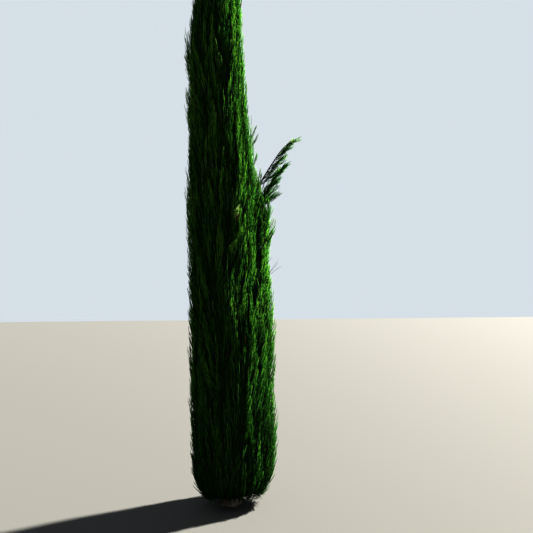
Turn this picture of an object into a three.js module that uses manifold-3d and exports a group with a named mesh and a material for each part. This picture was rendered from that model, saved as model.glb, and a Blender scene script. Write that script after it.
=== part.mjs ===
// Italian cypress: a slim column of steep foliage plumes round one leaning trunk.
// Millimetres, +Z up, +X to the right as the tree is seen, origin under the trunk at ground level.
import * as THREE from "three";
import { mergeVertices } from "three/addons/utils/BufferGeometryUtils.js";
import Module from "manifold-3d";

const wasm = await Module();
wasm.setup();

const { degToRad, lerp, clamp, smoothstep, euclideanModulo } = THREE.MathUtils;

// Size and lean of the whole tree
const TREE_HEIGHT = 7200;
const TOP_LEAN = -250; // how far along X the tip stands from the foot
const LEAN_POWER = 1.6;
const TOP_RETURN = { from: 4700, to: 6200, reach: 80 }; // between these heights the axis bends back this far

// Outline of the crown
const CROWN_RADIUS = 430;
const WIDEST_HEIGHT = 600;
const SKIRT_HEIGHT = 70; // the lowest foliage
const SKIRT_TUCK = 0.3; // share of the radius that is lost at the skirt's lower edge
const TUCK_POWER = 5;
const TAPER = { power: 2.2, root: 0.75 };
const WAVES = [
  { lobes: 2, pitch: 2600, share: 0.025 },
  { lobes: 5, pitch: -1500, share: 0.02 },
];

// Bulges and, with a negative depth, hollows in the crown's sides. halfAngles: how far each one reaches
// round the crown, clockwise and counterclockwise. The third is a plume that stands off on the right, with a
// furrow beside it.
const SIDE_BULGES = [
  { foot: 0, top: 1300, depth: 76, bearing: 0, halfAngles: [52, 52], squareness: 1, furrow: 0 },
  { foot: 1150, top: 2760, depth: 115, bearing: 0, halfAngles: [52, 52], squareness: 1, furrow: 0 },
  { foot: 2760, top: 3340, depth: 165, bearing: 12, halfAngles: [28, 34], squareness: 0.35, furrow: 75 },
  { foot: 3600, top: 4500, depth: -22, bearing: 0, halfAngles: [60, 60], squareness: 1, furrow: 0 },
  { foot: 0, top: 1100, depth: -35, bearing: 180, halfAngles: [80, 80], squareness: 1, furrow: 0 },
  { foot: 4000, top: 6200, depth: 45, bearing: 180, halfAngles: [75, 75], squareness: 1, furrow: 0 },
];
const BULGE_ROUNDING = 0.6;
const FURROW = { bearing: degToRad(-25), halfAngle: degToRad(9) };

// Trunk
const TRUNK_RADIUS = 74;
const TRUNK_TIP = { height: 6560, radius: 6 };
const TRUNK_TAPER = 0.9;
const FLARE = { height: 300, share: 0.6, lobes: 5, lobeShare: 0.16 };
const TRUNK_SIDES = 15;
const TRUNK_STEPS = 15;
const RING_CROWDING = 1.5; // crowds the rings towards the root flare

// Tiers of foliage: where each one ends on the crown's wall, and how many plumes share it
const TIERS = [
  { top: 1150, plumes: 4 },
  { top: 1950, plumes: 4 },
  { top: 2700, plumes: 4 },
  { top: 3450, plumes: 4 },
  { top: 4200, plumes: 4 },
  { top: 4950, plumes: 4 },
  { top: 5650, plumes: 3 },
  { top: 6300, plumes: 3 },
];
const TIER_STEEPNESS = 3; // rise over run of the cone between two tiers
const TIER_GAP = 14; // each tier stays this far above or below the cone
const RIM_WAVE = { lobes: 3, depth: 120, turn: 1.9 }; // the cone's rim rises and dips round the crown
const SECTOR_GAP = degToRad(1.2);
const TRUNK_ROOM = 12; // between the trunk and a core

// Cores, the dense inside of each plume
const CORE_SHARE = 0.9; // of the crown's radius
const GROOVE_SHARE = 0.9; // of the wall's radius, where a groove runs between two ridges
const GROOVE_DROP = 85; // the upper edge dips this far in each groove
const RIDGE_ANGLE = degToRad(15);
const WALL_STEPS = 3;
const LEADER_RINGS = 5;

// Stems and twigs
const STEM_RADII = [15, 5];
const STEM_SIDES = 6;
const STEM_REACH = 0.8; // share of the wall's radius where a stem ends
const STEM_TWIGS = [0.4, 0.95]; // twigs leave between these shares of the stem
const TWIG_RADII = [5, 3];
const LEADER_STEM_RADII = [6, 2];
const LIMB_ROOM = 0.3; // every stem starts this far from the limb that carries it
const BOUGH_ROOM = 3; // inside the crown, between a bough's thickest ring and the foliage
const JOINT_ROOM = 0.95; // between a bough's end and the stem that goes on from it

// Sprays: toothed blades that bend up out of the cores, their tips on the crown's outline
const SPRAY_RISE = [215, 300];
const SPRAY_REACH = [0.97, 1.06]; // share of the crown's radius
const SPRAY_PROUD = 8; // and this much more
const SPRAY_KNEE = 0.95; // share of the wall's radius where a spray bends upwards
const SPRAY_ROOT = { inward: 62, down: 55 }; // from the knee to the root inside the core
const SPRAY_TURN = degToRad(4);
const SPRAY_ROLL = degToRad(35);
const SPRAY_HALF_WIDTH = 0.15; // share of the whole length
const SPRAY_HALF_THICKNESS = 0.032;
const SPRAY_RIDGE = 0.5; // share of the length where the blade is thickest
const SPRAY_TEETH = [
  [0.56, 1],
  [0.66, 0.45],
]; // share of the length and of the half width, from the root up one side
const ROW_HEIGHT = 225;
const COLUMN_WIDTH = 175;
const ROW_JITTER = 45;
const COLUMN_JITTER = 0.28; // share of a column's width
const CONE_ROOM = 12;
const SIDE_ROOM = 8;
const GROUND_ROOM = 20;
const SEED = 20261;

// Two boughs that lean out of the crown on the right, each with an open plume at its end.
// The upper one is a bare stem with twigs on its outer side. The lower one is a close spindle.
const STRAYS = [
  {
    name: "upper",
    line: [
      [-40, 0, 2570],
      [90, 70, 2980],
      [309, 150, 3428],
      [440, 185, 3664],
      [588, 215, 3893],
      [700, 230, 4000],
    ],
    joint: 0.6, // share of the line where the bough ends and the plume's stem starts
    radii: [17, 8.5, 3], // at the trunk, at the joint and at the tip
    count: 8,
    lengths: [190, 80],
    spread: degToRad(45), // how far the twigs turn either way from straight below
    angle: degToRad(25),
    sprays: 2,
    sprayLengths: [200, 95],
  },
  {
    name: "lower",
    line: [
      [-38, -4, 2380],
      [95, 50, 2830],
      [325, 140, 3235],
      [405, 160, 3377],
      [500, 175, 3575],
      [600, 180, 3680],
    ],
    joint: 0.62,
    radii: [16, 9, 3],
    count: 7,
    lengths: [150, 60],
    spread: degToRad(110),
    angle: degToRad(32),
    sprays: 2,
    sprayLengths: [225, 100],
  },
];
const STRAY_STEPS = 8;
const LATERAL_SHARES = [0.04, 0.97];
const LATERAL_LIFT = 0.22; // how far a lateral's end curves up, as a share of its length
const LATERAL_RADII = [4.5, 2.5];
const LATERAL_SPRAY_ANGLE = degToRad(26);
const LATERAL_SPRAY_SUNK = { side: 0.02, end: 0.1 }; // share of the spray's length inside the twig

const bark = new THREE.MeshStandardMaterial({ color: 0x6a5a4c, roughness: 0.95, metalness: 0 });
const foliage = new THREE.MeshStandardMaterial({ color: 0x1f4a12, roughness: 0.8, metalness: 0 });

// Numbers from 0 to 1, the same on every run
function seededNumbers(seed) {
  let state = seed >>> 0;
  return () => {
    state = (Math.imul(state, 1664525) + 1013904223) >>> 0;
    return state / 2 ** 32;
  };
}

const between = (draw, [low, high]) => lerp(low, high, draw());
const either = (draw, spread) => spread * (2 * draw() - 1);

// Shape of the crown

function leanAt(z) {
  const back = smoothstep(z, TOP_RETURN.from, TOP_RETURN.to);
  return TOP_LEAN * (Math.max(z, 0) / TREE_HEIGHT) ** LEAN_POWER + TOP_RETURN.reach * back;
}

function crownPoint(bearing, distance, z) {
  return new THREE.Vector3(leanAt(z) + distance * Math.cos(bearing), distance * Math.sin(bearing), z);
}

function crownPlace({ x, y, z }) {
  const across = x - leanAt(z);
  return { bearing: Math.atan2(y, across), distance: Math.hypot(across, y) };
}

function turnBetween(from, to) {
  return euclideanModulo(to - from + Math.PI, 2 * Math.PI) - Math.PI;
}

// A smooth hump, 1 at the middle and 0 from the half width on
const hump = (offset, halfWidth) => Math.cos((Math.min(1, Math.abs(offset) / halfWidth) * Math.PI) / 2) ** 2;

function sideBulge(bearing, z) {
  const sunk = hump(turnBetween(FURROW.bearing, bearing), FURROW.halfAngle);
  return SIDE_BULGES.reduce((sum, bulge) => {
    const share = clamp((z - bulge.foot) / (bulge.top - bulge.foot), 0, 1);
    const turn = turnBetween(degToRad(bulge.bearing), bearing);
    const halfAngle = degToRad(bulge.halfAngles[turn < 0 ? 0 : 1]);
    const across = bulge.depth * hump(turn, halfAngle) ** bulge.squareness - bulge.furrow * sunk;
    return sum + across * Math.sin(Math.PI * share) ** BULGE_ROUNDING;
  }, 0);
}

// Radius of the plain column, round and without bulges
function columnRadius(z) {
  const above = clamp((z - WIDEST_HEIGHT) / (TREE_HEIGHT - WIDEST_HEIGHT), 0, 1);
  const below = clamp((WIDEST_HEIGHT - z) / (WIDEST_HEIGHT - SKIRT_HEIGHT), 0, 1);
  return CROWN_RADIUS * (1 - above ** TAPER.power) ** TAPER.root * (1 - SKIRT_TUCK * below ** TUCK_POWER);
}

function crownReach(bearing, z) {
  const wave = WAVES.reduce(
    (sum, { lobes, pitch, share }) => sum + share * Math.sin(lobes * bearing + (2 * Math.PI * z) / pitch),
    1,
  );
  return columnRadius(z) * wave + sideBulge(bearing, z);
}

const wallRadius = (bearing, z) => CORE_SHARE * crownReach(bearing, z);

function trunkRadius(z, bearing) {
  const share = clamp(z / TRUNK_TIP.height, 0, 1);
  const plain = lerp(TRUNK_TIP.radius, TRUNK_RADIUS, (1 - share) ** TRUNK_TAPER);
  const low = clamp(1 - z / FLARE.height, 0, 1) ** 2;
  const lobe = bearing === undefined ? 1 : Math.cos(FLARE.lobes * bearing);
  return plain * (1 + low * (FLARE.share + FLARE.lobeShare * lobe));
}

// Height of the steep cone over a tier, which parts it from the tier above. All its slopes meet in one
// point on the axis, so flat faces lie on it. Tier -1 is the air under the skirt.
function coneHeight(tier, bearing, distance) {
  if (tier < 0) return SKIRT_HEIGHT;
  const { top } = TIERS[tier];
  const rim = CORE_SHARE * columnRadius(top);
  const wave = RIM_WAVE.depth * Math.sin(RIM_WAVE.lobes * bearing + RIM_WAVE.turn * tier);
  return top - TIER_STEEPNESS * rim + (TIER_STEEPNESS + wave / rim) * distance;
}

// Distance at which a tier's cone meets the crown's wall, near enough for the rims of the cores
function rimDistance(tier, bearing) {
  const near = wallRadius(bearing, tier < 0 ? SKIRT_HEIGHT : TIERS[tier].top);
  return wallRadius(bearing, coneHeight(tier, bearing, near));
}

function sectorOf(tier, index) {
  const turn = (2 * Math.PI) / TIERS[tier].plumes;
  return { middle: turn * (index + (tier % 2 ? 0 : 0.5)), half: turn / 2 };
}

// Solids

function solidOf(points, triangles) {
  const geometry = new THREE.BufferGeometry().setFromPoints(points).setIndex(triangles.flat());
  const merged = mergeVertices(geometry, 1e-4);
  return new wasm.Manifold(
    new wasm.Mesh({
      numProp: 3,
      vertProperties: new Float32Array(merged.attributes.position.array),
      triVerts: new Uint32Array(merged.index.array),
    }),
  );
}

function meshOf(name, solid, material) {
  const { vertProperties, triVerts } = solid.getMesh();
  const geometry = new THREE.BufferGeometry()
    .setAttribute("position", new THREE.BufferAttribute(vertProperties, 3))
    .setIndex(new THREE.BufferAttribute(triVerts, 1));
  geometry.computeVertexNormals();
  const mesh = new THREE.Mesh(geometry, material);
  mesh.name = name;
  return mesh;
}

// A closed skin over rings of points. Each ring turns counterclockwise as seen from the ring after it.
function skinOver(rings) {
  const count = rings[0].length;
  const last = rings.length - 1;
  const centres = [rings[0], rings[last]].map((ring) =>
    ring.reduce((sum, p) => sum.add(p), new THREE.Vector3()).divideScalar(count),
  );
  const startCentre = rings.length * count;
  const triangles = [];
  for (let i = 0; i < count; i++) {
    const j = (i + 1) % count;
    for (let step = 0; step < last; step++) {
      const [a, b, c, d] = [i, j, j + count, i + count].map((n) => n + step * count);
      triangles.push([a, b, c], [a, c, d]);
    }
    triangles.push([startCentre, j, i], [startCentre + 1, last * count + i, last * count + j]);
  }
  return solidOf([...rings.flat(), ...centres], triangles);
}

// A tapering limb along a curve. radiusAt takes the share of the curve's length.
function limbAlong(curve, steps, sides, radiusAt) {
  const { normals, binormals } = curve.computeFrenetFrames(steps, false);
  const rings = normals.map((normal, step) => {
    const middle = curve.getPointAt(step / steps);
    const radius = radiusAt(step / steps);
    return Array.from({ length: sides }, (_, side) => {
      const angle = (2 * Math.PI * side) / sides;
      return middle
        .clone()
        .addScaledVector(normal, radius * Math.cos(angle))
        .addScaledVector(binormals[step], radius * Math.sin(angle));
    });
  });
  return skinOver(rings);
}

function twigBetween(foot, tip, [footRadius, tipRadius], sides = 3) {
  return limbAlong(new THREE.LineCurve3(foot, tip), 1, sides, (share) => lerp(footRadius, tipRadius, share));
}

// The part of a curve between two shares of its length
function stretchOf(curve, from, to, steps) {
  const points = Array.from({ length: steps + 1 }, (_, i) => curve.getPointAt(lerp(from, to, i / steps)));
  return new THREE.CatmullRomCurve3(points);
}

// Corners of a spray along its line: root, one side, tip, the other side, and the ridge on its two faces
function sprayCorners(line, roll) {
  const [root, tip] = [line.getPoint(0), line.getPoint(1)];
  const length = root.distanceTo(tip);
  const along = line.getTangent(SPRAY_RIDGE);
  const outward = new THREE.Vector3(root.x - leanAt(root.z), root.y, 0).normalize();
  const across = along.clone().cross(outward).normalize().applyAxisAngle(along, roll);
  const through = across.clone().cross(along);
  const corner = (share, side, depth) =>
    line
      .getPoint(share)
      .addScaledVector(across, side * SPRAY_HALF_WIDTH * length)
      .addScaledVector(through, depth * SPRAY_HALF_THICKNESS * length);
  return [
    root,
    ...SPRAY_TEETH.map(([share, side]) => corner(share, side, 0)),
    tip,
    ...SPRAY_TEETH.toReversed().map(([share, side]) => corner(share, -side, 0)),
    corner(SPRAY_RIDGE, 0, 1),
    corner(SPRAY_RIDGE, 0, -1),
  ];
}

function spraySolid(corners) {
  const rim = corners.length - 2;
  const triangles = Array.from({ length: rim }, (_, i) => {
    const next = (i + 1) % rim;
    return [
      [i, next, rim],
      [next, i, rim + 1],
    ];
  }).flat();
  return solidOf(corners, triangles);
}

// Fuses the pieces of one plume, cuts the limbs' room out of it and drops what hangs loose
function fused(pieces, limbRoom) {
  const whole = wasm.Manifold.union(pieces).subtract(limbRoom);
  return whole.decompose().sort((a, b) => b.volume() - a.volume())[0];
}

const touches = (a, b) => !a.intersect(b).isEmpty();

// Trunk, whole from a flat cut at ground level to its tip. room makes it larger all round.
function trunkSolid(room = 0) {
  const rings = Array.from({ length: TRUNK_STEPS + 1 }, (_, step) => {
    const z = TRUNK_TIP.height * (step / TRUNK_STEPS) ** RING_CROWDING;
    const over = step === TRUNK_STEPS ? room : 0;
    return Array.from({ length: TRUNK_SIDES }, (_, side) => {
      const bearing = (2 * Math.PI * side) / TRUNK_SIDES;
      return crownPoint(bearing, trunkRadius(z, bearing) + room, z + over);
    });
  });
  return skinOver(rings);
}

// Core of one plume: a steep slab between two cones and two upright planes, its wall ridged
function plumeCore(tier, { middle, half }) {
  const steps = 2 * Math.round(half / RIDGE_ANGLE);
  const rings = Array.from({ length: steps + 1 }, (_, step) => {
    const bearing = middle + (half - SECTOR_GAP) * ((2 * step) / steps - 1);
    const groove = step % 2 === 0;
    const share = groove ? GROOVE_SHARE : 1;
    const place = (distance, z) => crownPoint(bearing, distance, z);
    const rimLow = share * rimDistance(tier - 1, bearing);
    const rimHigh = share * rimDistance(tier, bearing);
    const low = coneHeight(tier - 1, bearing, rimLow) + TIER_GAP;
    const high = coneHeight(tier, bearing, rimHigh) - TIER_GAP - (groove ? GROOVE_DROP : 0);
    const footHeight = Math.max(coneHeight(tier - 1, bearing, TRUNK_RADIUS), SKIRT_HEIGHT) + TIER_GAP;
    const footInner = trunkRadius(footHeight) + TRUNK_ROOM;
    const headInner = trunkRadius(coneHeight(tier, bearing, TRUNK_RADIUS)) + TRUNK_ROOM;
    const wall = Array.from({ length: WALL_STEPS - 1 }, (_, i) => {
      const z = lerp(high, low, (i + 1) / WALL_STEPS);
      return place(share * wallRadius(bearing, z), z);
    });
    return [
      place(headInner, coneHeight(tier, bearing, headInner) - TIER_GAP),
      place(rimHigh, high),
      ...wall,
      place(rimLow, low),
      place(footInner, coneHeight(tier - 1, bearing, footInner) + TIER_GAP),
    ];
  });
  return skinOver(rings);
}

// Whether a point keeps to the space of its plume
function inSpace(point, tier, { middle, half }) {
  const { bearing, distance } = crownPlace(point);
  const side = (half - Math.abs(turnBetween(middle, bearing))) * distance;
  return (
    point.z > GROUND_ROOM &&
    point.z < TREE_HEIGHT &&
    (half >= Math.PI || side > SIDE_ROOM) &&
    point.z > coneHeight(tier - 1, bearing, distance) + CONE_ROOM &&
    (tier === TIERS.length || point.z < coneHeight(tier, bearing, distance) - CONE_ROOM)
  );
}

// Sprays and twigs over the wall of one plume, in rows and columns that a seeded draw loosens
function plumeSprays(draw, tier, sector, stemAt, limbRoom) {
  const foot = coneHeight(tier - 1, sector.middle, rimDistance(tier - 1, sector.middle));
  const rimTop = () => coneHeight(tier, sector.middle, rimDistance(tier, sector.middle));
  const head = tier < TIERS.length ? rimTop() : TREE_HEIGHT - SPRAY_RISE[0];
  const rows = Math.round((head - foot) / ROW_HEIGHT);
  const pieces = [];
  for (let row = 0; row < rows; row++) {
    const level = lerp(foot, head, (row + 0.5) / rows);
    const girth = 2 * sector.half * wallRadius(sector.middle, level);
    const columns = Math.max(3, Math.round(girth / COLUMN_WIDTH));
    for (let column = 0; column < columns; column++) {
      const z = level + either(draw, ROW_JITTER);
      const slot = (column + 0.5 + either(draw, COLUMN_JITTER)) / columns;
      const bearing = sector.middle + sector.half * (2 * slot - 1);
      const topZ = Math.min(z + between(draw, SPRAY_RISE), TREE_HEIGHT - 1);
      const topBearing = bearing + either(draw, SPRAY_TURN);
      const reach = between(draw, SPRAY_REACH) * crownReach(topBearing, topZ) + SPRAY_PROUD;
      const tip = crownPoint(topBearing, reach, topZ);
      const kneeReach = SPRAY_KNEE * wallRadius(bearing, z);
      const knee = crownPoint(bearing, kneeReach, z);
      const rootReach = Math.max(kneeReach - SPRAY_ROOT.inward, kneeReach / 2);
      const root = crownPoint(bearing, rootReach, z - SPRAY_ROOT.down);
      const line = new THREE.QuadraticBezierCurve3(root, knee, tip);
      const corners = sprayCorners(line, either(draw, SPRAY_ROLL));
      if (!corners.every((p) => inSpace(p, tier, sector))) continue;
      const spray = spraySolid(corners);
      if (touches(spray, limbRoom)) continue;
      pieces.push(spray, twigBetween(stemAt(root.z), root, TWIG_RADII));
    }
  }
  return pieces;
}

function plumeSolid(draw, tier, index, limbRoom) {
  const sector = sectorOf(tier, index);
  const middleHeight = (distance) =>
    (coneHeight(tier - 1, sector.middle, distance) + coneHeight(tier, sector.middle, distance)) / 2;
  const reach = STEM_REACH * wallRadius(sector.middle, TIERS[tier].top);
  const foot = crownPoint(sector.middle, 0, Math.max(middleHeight(0), SKIRT_HEIGHT + STEM_RADII[0]));
  const tip = crownPoint(sector.middle, reach, middleHeight(reach));
  const stem = twigBetween(foot, tip, STEM_RADII, STEM_SIDES);
  const stemAt = (z) => foot.clone().lerp(tip, clamp((z - foot.z) / (tip.z - foot.z), ...STEM_TWIGS));
  const sprays = plumeSprays(draw, tier, sector, stemAt, limbRoom);
  return fused([plumeCore(tier, sector), stem, ...sprays], limbRoom);
}

// The leader, a spindle of foliage round the trunk's tip and up to the top of the tree
function leaderSolid(draw, limbRoom) {
  const tier = TIERS.length;
  const { top } = TIERS[tier - 1];
  const sides = 2 * Math.round(Math.PI / (2 * RIDGE_ANGLE));
  const bearings = Array.from({ length: sides }, (_, side) => (2 * Math.PI * side) / sides);
  const shareAt = (side) => (side % 2 ? 1 : GROOVE_SHARE);
  const onCone = (distanceAt) =>
    bearings.map((bearing, side) => {
      const distance = distanceAt(bearing, side);
      return crownPoint(bearing, distance, coneHeight(tier - 1, bearing, distance) + TIER_GAP);
    });
  const head = TREE_HEIGHT - SPRAY_RISE[0] / 2;
  const walls = Array.from({ length: LEADER_RINGS }, (_, i) => {
    const z = lerp(top + RIM_WAVE.depth + TIER_GAP, head, i / (LEADER_RINGS - 1));
    return bearings.map((bearing, side) => crownPoint(bearing, shareAt(side) * wallRadius(bearing, z), z));
  });
  const core = skinOver([
    onCone(() => trunkRadius(top) + TRUNK_ROOM),
    onCone((bearing, side) => shareAt(side) * rimDistance(tier - 1, bearing)),
    ...walls,
  ]);
  const stemFoot = crownPoint(0, 0, TRUNK_TIP.height);
  const stemTip = crownPoint(0, 0, TREE_HEIGHT - 1);
  const stem = twigBetween(stemFoot, stemTip, LEADER_STEM_RADII, STEM_SIDES);
  const stemAt = (z) => crownPoint(0, 0, clamp(z, TRUNK_TIP.height, head));
  const sprays = plumeSprays(draw, tier, { middle: 0, half: Math.PI }, stemAt, limbRoom);
  return fused([core, stem, ...sprays], limbRoom);
}

const lineOf = (stray) => new THREE.CatmullRomCurve3(stray.line.map((p) => new THREE.Vector3(...p)));

function strayBough({ joint, radii, line }) {
  const boughLine = stretchOf(lineOf({ line }), 0, joint, STRAY_STEPS);
  return limbAlong(boughLine, STRAY_STEPS, STEM_SIDES, (share) => lerp(radii[0], radii[1], share));
}

// The room that a stray bough and its plume's stem need inside the crown
function strayRoom(stray) {
  return limbAlong(lineOf(stray), 2 * STRAY_STEPS, STEM_SIDES, () => stray.radii[0] + BOUGH_ROOM);
}

// A twig with its sprays, that leaves a stem at a share of its length
function lateralPieces(draw, stray, stemLine, share) {
  const length = lerp(...stray.lengths, share);
  const tangent = stemLine.getTangentAt(share);
  const below = new THREE.Vector3(tangent.z, 0, -tangent.x);
  below.applyAxisAngle(tangent, either(draw, stray.spread));
  const way = tangent.multiplyScalar(Math.cos(stray.angle)).addScaledVector(below, Math.sin(stray.angle));
  const foot = stemLine.getPointAt(share);
  const middle = foot.clone().addScaledVector(way, length / 2);
  const end = foot.clone().addScaledVector(way, length);
  end.z += LATERAL_LIFT * length;
  const lateral = new THREE.QuadraticBezierCurve3(foot, middle, end);
  const twig = limbAlong(lateral, 2, 3, (s) => lerp(...LATERAL_RADII, s));
  const sprays = Array.from({ length: stray.sprays }, (_, i) => {
    const at = (i + 1) / stray.sprays;
    const side = new THREE.Vector3(0, i % 2 ? 1 : -1, 0).applyAxisAngle(way, either(draw, Math.PI / 2));
    const angle = at < 1 ? LATERAL_SPRAY_ANGLE : 0;
    const sunk = at < 1 ? LATERAL_SPRAY_SUNK.side : LATERAL_SPRAY_SUNK.end;
    const sprayWay = lateral.getTangentAt(at).multiplyScalar(Math.cos(angle));
    sprayWay.addScaledVector(side, Math.sin(angle));
    const sprayLength = lerp(...stray.sprayLengths, share);
    const root = lateral.getPointAt(at).addScaledVector(sprayWay, -sunk * sprayLength);
    const tip = root.clone().addScaledVector(sprayWay, sprayLength);
    return spraySolid(sprayCorners(new THREE.LineCurve3(root, tip), either(draw, Math.PI)));
  });
  return { twig, sprays };
}

// The open plume outside the crown, twigs and sprays on one stem with no core
function strayPlume(draw, stray, neighbours) {
  const line = lineOf(stray);
  const stemLine = stretchOf(line, stray.joint + JOINT_ROOM / line.getLength(), 1, STRAY_STEPS);
  const [, jointRadius, tipRadius] = stray.radii;
  const radiusAt = (share) => lerp(jointRadius, tipRadius, share);
  const pieces = [limbAlong(stemLine, STRAY_STEPS, STEM_SIDES, radiusAt)];
  for (let i = 0; i < stray.count; i++) {
    const share = lerp(...LATERAL_SHARES, i / (stray.count - 1));
    const { twig, sprays } = lateralPieces(draw, stray, stemLine, share);
    if (touches(twig, neighbours)) continue;
    pieces.push(twig, ...sprays.filter((spray) => !touches(spray, neighbours)));
  }
  return fused(pieces, neighbours);
}

function buildTree() {
  const draw = seededNumbers(SEED);
  const tree = new THREE.Group();
  const addMass = (name, solid) => {
    tree.add(meshOf(name, solid, foliage));
    return solid;
  };
  const trunkRoom = trunkSolid(LIMB_ROOM);
  tree.add(meshOf("trunk", trunkSolid(), bark));
  const boughs = STRAYS.map((stray) => {
    const bough = strayBough(stray).subtract(trunkRoom);
    tree.add(meshOf(`${stray.name}_bough`, bough, bark));
    return bough;
  });
  const limbRoom = wasm.Manifold.union([trunkRoom, ...STRAYS.map(strayRoom)]);
  const masses = TIERS.flatMap(({ plumes }, tier) =>
    Array.from({ length: plumes }, (_, index) =>
      addMass(`tier_${tier + 1}_plume_${index + 1}`, plumeSolid(draw, tier, index, limbRoom)),
    ),
  );
  masses.push(addMass("leader_plume", leaderSolid(draw, limbRoom)));
  let neighbours = wasm.Manifold.union([...masses, ...boughs]);
  for (const stray of STRAYS) {
    const mass = addMass(`${stray.name}_bough_plume`, strayPlume(draw, stray, neighbours));
    neighbours = neighbours.add(mass);
  }
  return tree;
}

export default buildTree();
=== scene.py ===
"""Italian cypress: bark, boughs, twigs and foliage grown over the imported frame.

Metres, +Z up, +X to the right as the tree is seen, origin under the trunk at ground level.
"""

from __future__ import annotations

import logging
import math
from collections.abc import Callable, Iterable, Sequence
from dataclasses import dataclass, field
from enum import Enum

import bpy
import numpy as np
from mathutils import Euler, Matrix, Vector


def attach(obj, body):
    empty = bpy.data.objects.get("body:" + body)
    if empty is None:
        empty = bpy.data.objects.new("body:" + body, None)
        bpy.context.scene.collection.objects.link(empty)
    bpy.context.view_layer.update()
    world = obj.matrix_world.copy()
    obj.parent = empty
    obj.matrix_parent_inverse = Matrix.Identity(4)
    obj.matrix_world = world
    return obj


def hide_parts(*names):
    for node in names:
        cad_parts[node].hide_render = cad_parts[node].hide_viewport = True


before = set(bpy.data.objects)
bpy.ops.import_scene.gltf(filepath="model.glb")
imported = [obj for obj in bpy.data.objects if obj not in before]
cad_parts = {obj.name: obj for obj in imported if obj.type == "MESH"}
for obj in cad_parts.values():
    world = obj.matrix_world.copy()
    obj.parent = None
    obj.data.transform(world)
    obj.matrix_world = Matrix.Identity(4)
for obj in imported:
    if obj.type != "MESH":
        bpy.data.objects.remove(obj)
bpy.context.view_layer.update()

GOLDEN_TURN = math.radians(137.5)
SEED = 20261
SPRAY_SHAPES = 8
LOG = logging.getLogger("cypress")

Array = np.ndarray
Colour = tuple[float, float, float]


class Tone(Enum):
    """Greens for the sprays, darkest to freshest, then a pale green painted as a highlight, and a dry
    brown.
    """

    DEEP = 0
    SHADE = 1
    MID = 2
    FRESH = 3
    TIP = 4
    # A pale green painted as a highlight on sunlit shoots.
    PALE_HIGHLIGHT = 5
    DRY = 6


class SeededNumbers:
    """Numbers from 0 to 1 by the same rule as the tree's source, the same on every run."""

    def __init__(self, seed: int) -> None:
        """Starts the row of numbers.

        Args:
            seed: whole number that the row starts from.
        """
        self.state = seed

    def draw(self) -> float:
        """Gives the next number."""
        self.state = (self.state * 1664525 + 1013904223) % 2**32
        return self.state / 2**32

    def between(self, low: float, high: float) -> float:
        """Gives a number from low to high."""
        return low + (high - low) * self.draw()

    def either(self, spread: float) -> float:
        """Gives a number from minus spread to plus spread."""
        return spread * (2 * self.draw() - 1)


# Shader sockets as Python values


class Value:
    """A number socket that can be written into sums and products."""

    def __init__(self, tree: bpy.types.NodeTree, socket: bpy.types.NodeSocket) -> None:
        """Wraps a socket.

        Args:
            tree: node tree that the socket is in.
            socket: output socket that holds the number.
        """
        self.tree = tree
        self.socket = socket

    def _math(self, operation: str, first: Value | float, second: Value | float) -> Value:
        """Adds a Math node.

        Args:
            operation: name of the node's operation.
            first: first input.
            second: second input.

        Returns:
            The node's result.
        """
        node = self.tree.nodes.new("ShaderNodeMath")
        node.operation = operation
        for slot, value in zip(node.inputs, (first, second)):
            if isinstance(value, Value):
                self.tree.links.new(value.socket, slot)
            else:
                slot.default_value = value
        return Value(self.tree, node.outputs[0])

    def __add__(self, other: Value | float) -> Value:
        """Gives the sum."""
        return self._math("ADD", self, other)

    def __mul__(self, other: Value | float) -> Value:
        """Gives the product."""
        return self._math("MULTIPLY", self, other)

    def __sub__(self, other: Value | float) -> Value:
        """Gives the difference."""
        return self._math("SUBTRACT", self, other)

    def __rsub__(self, other: Value | float) -> Value:
        """Gives the difference from a number."""
        return self._math("SUBTRACT", other, self)

    __radd__ = __add__
    __rmul__ = __mul__


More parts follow.
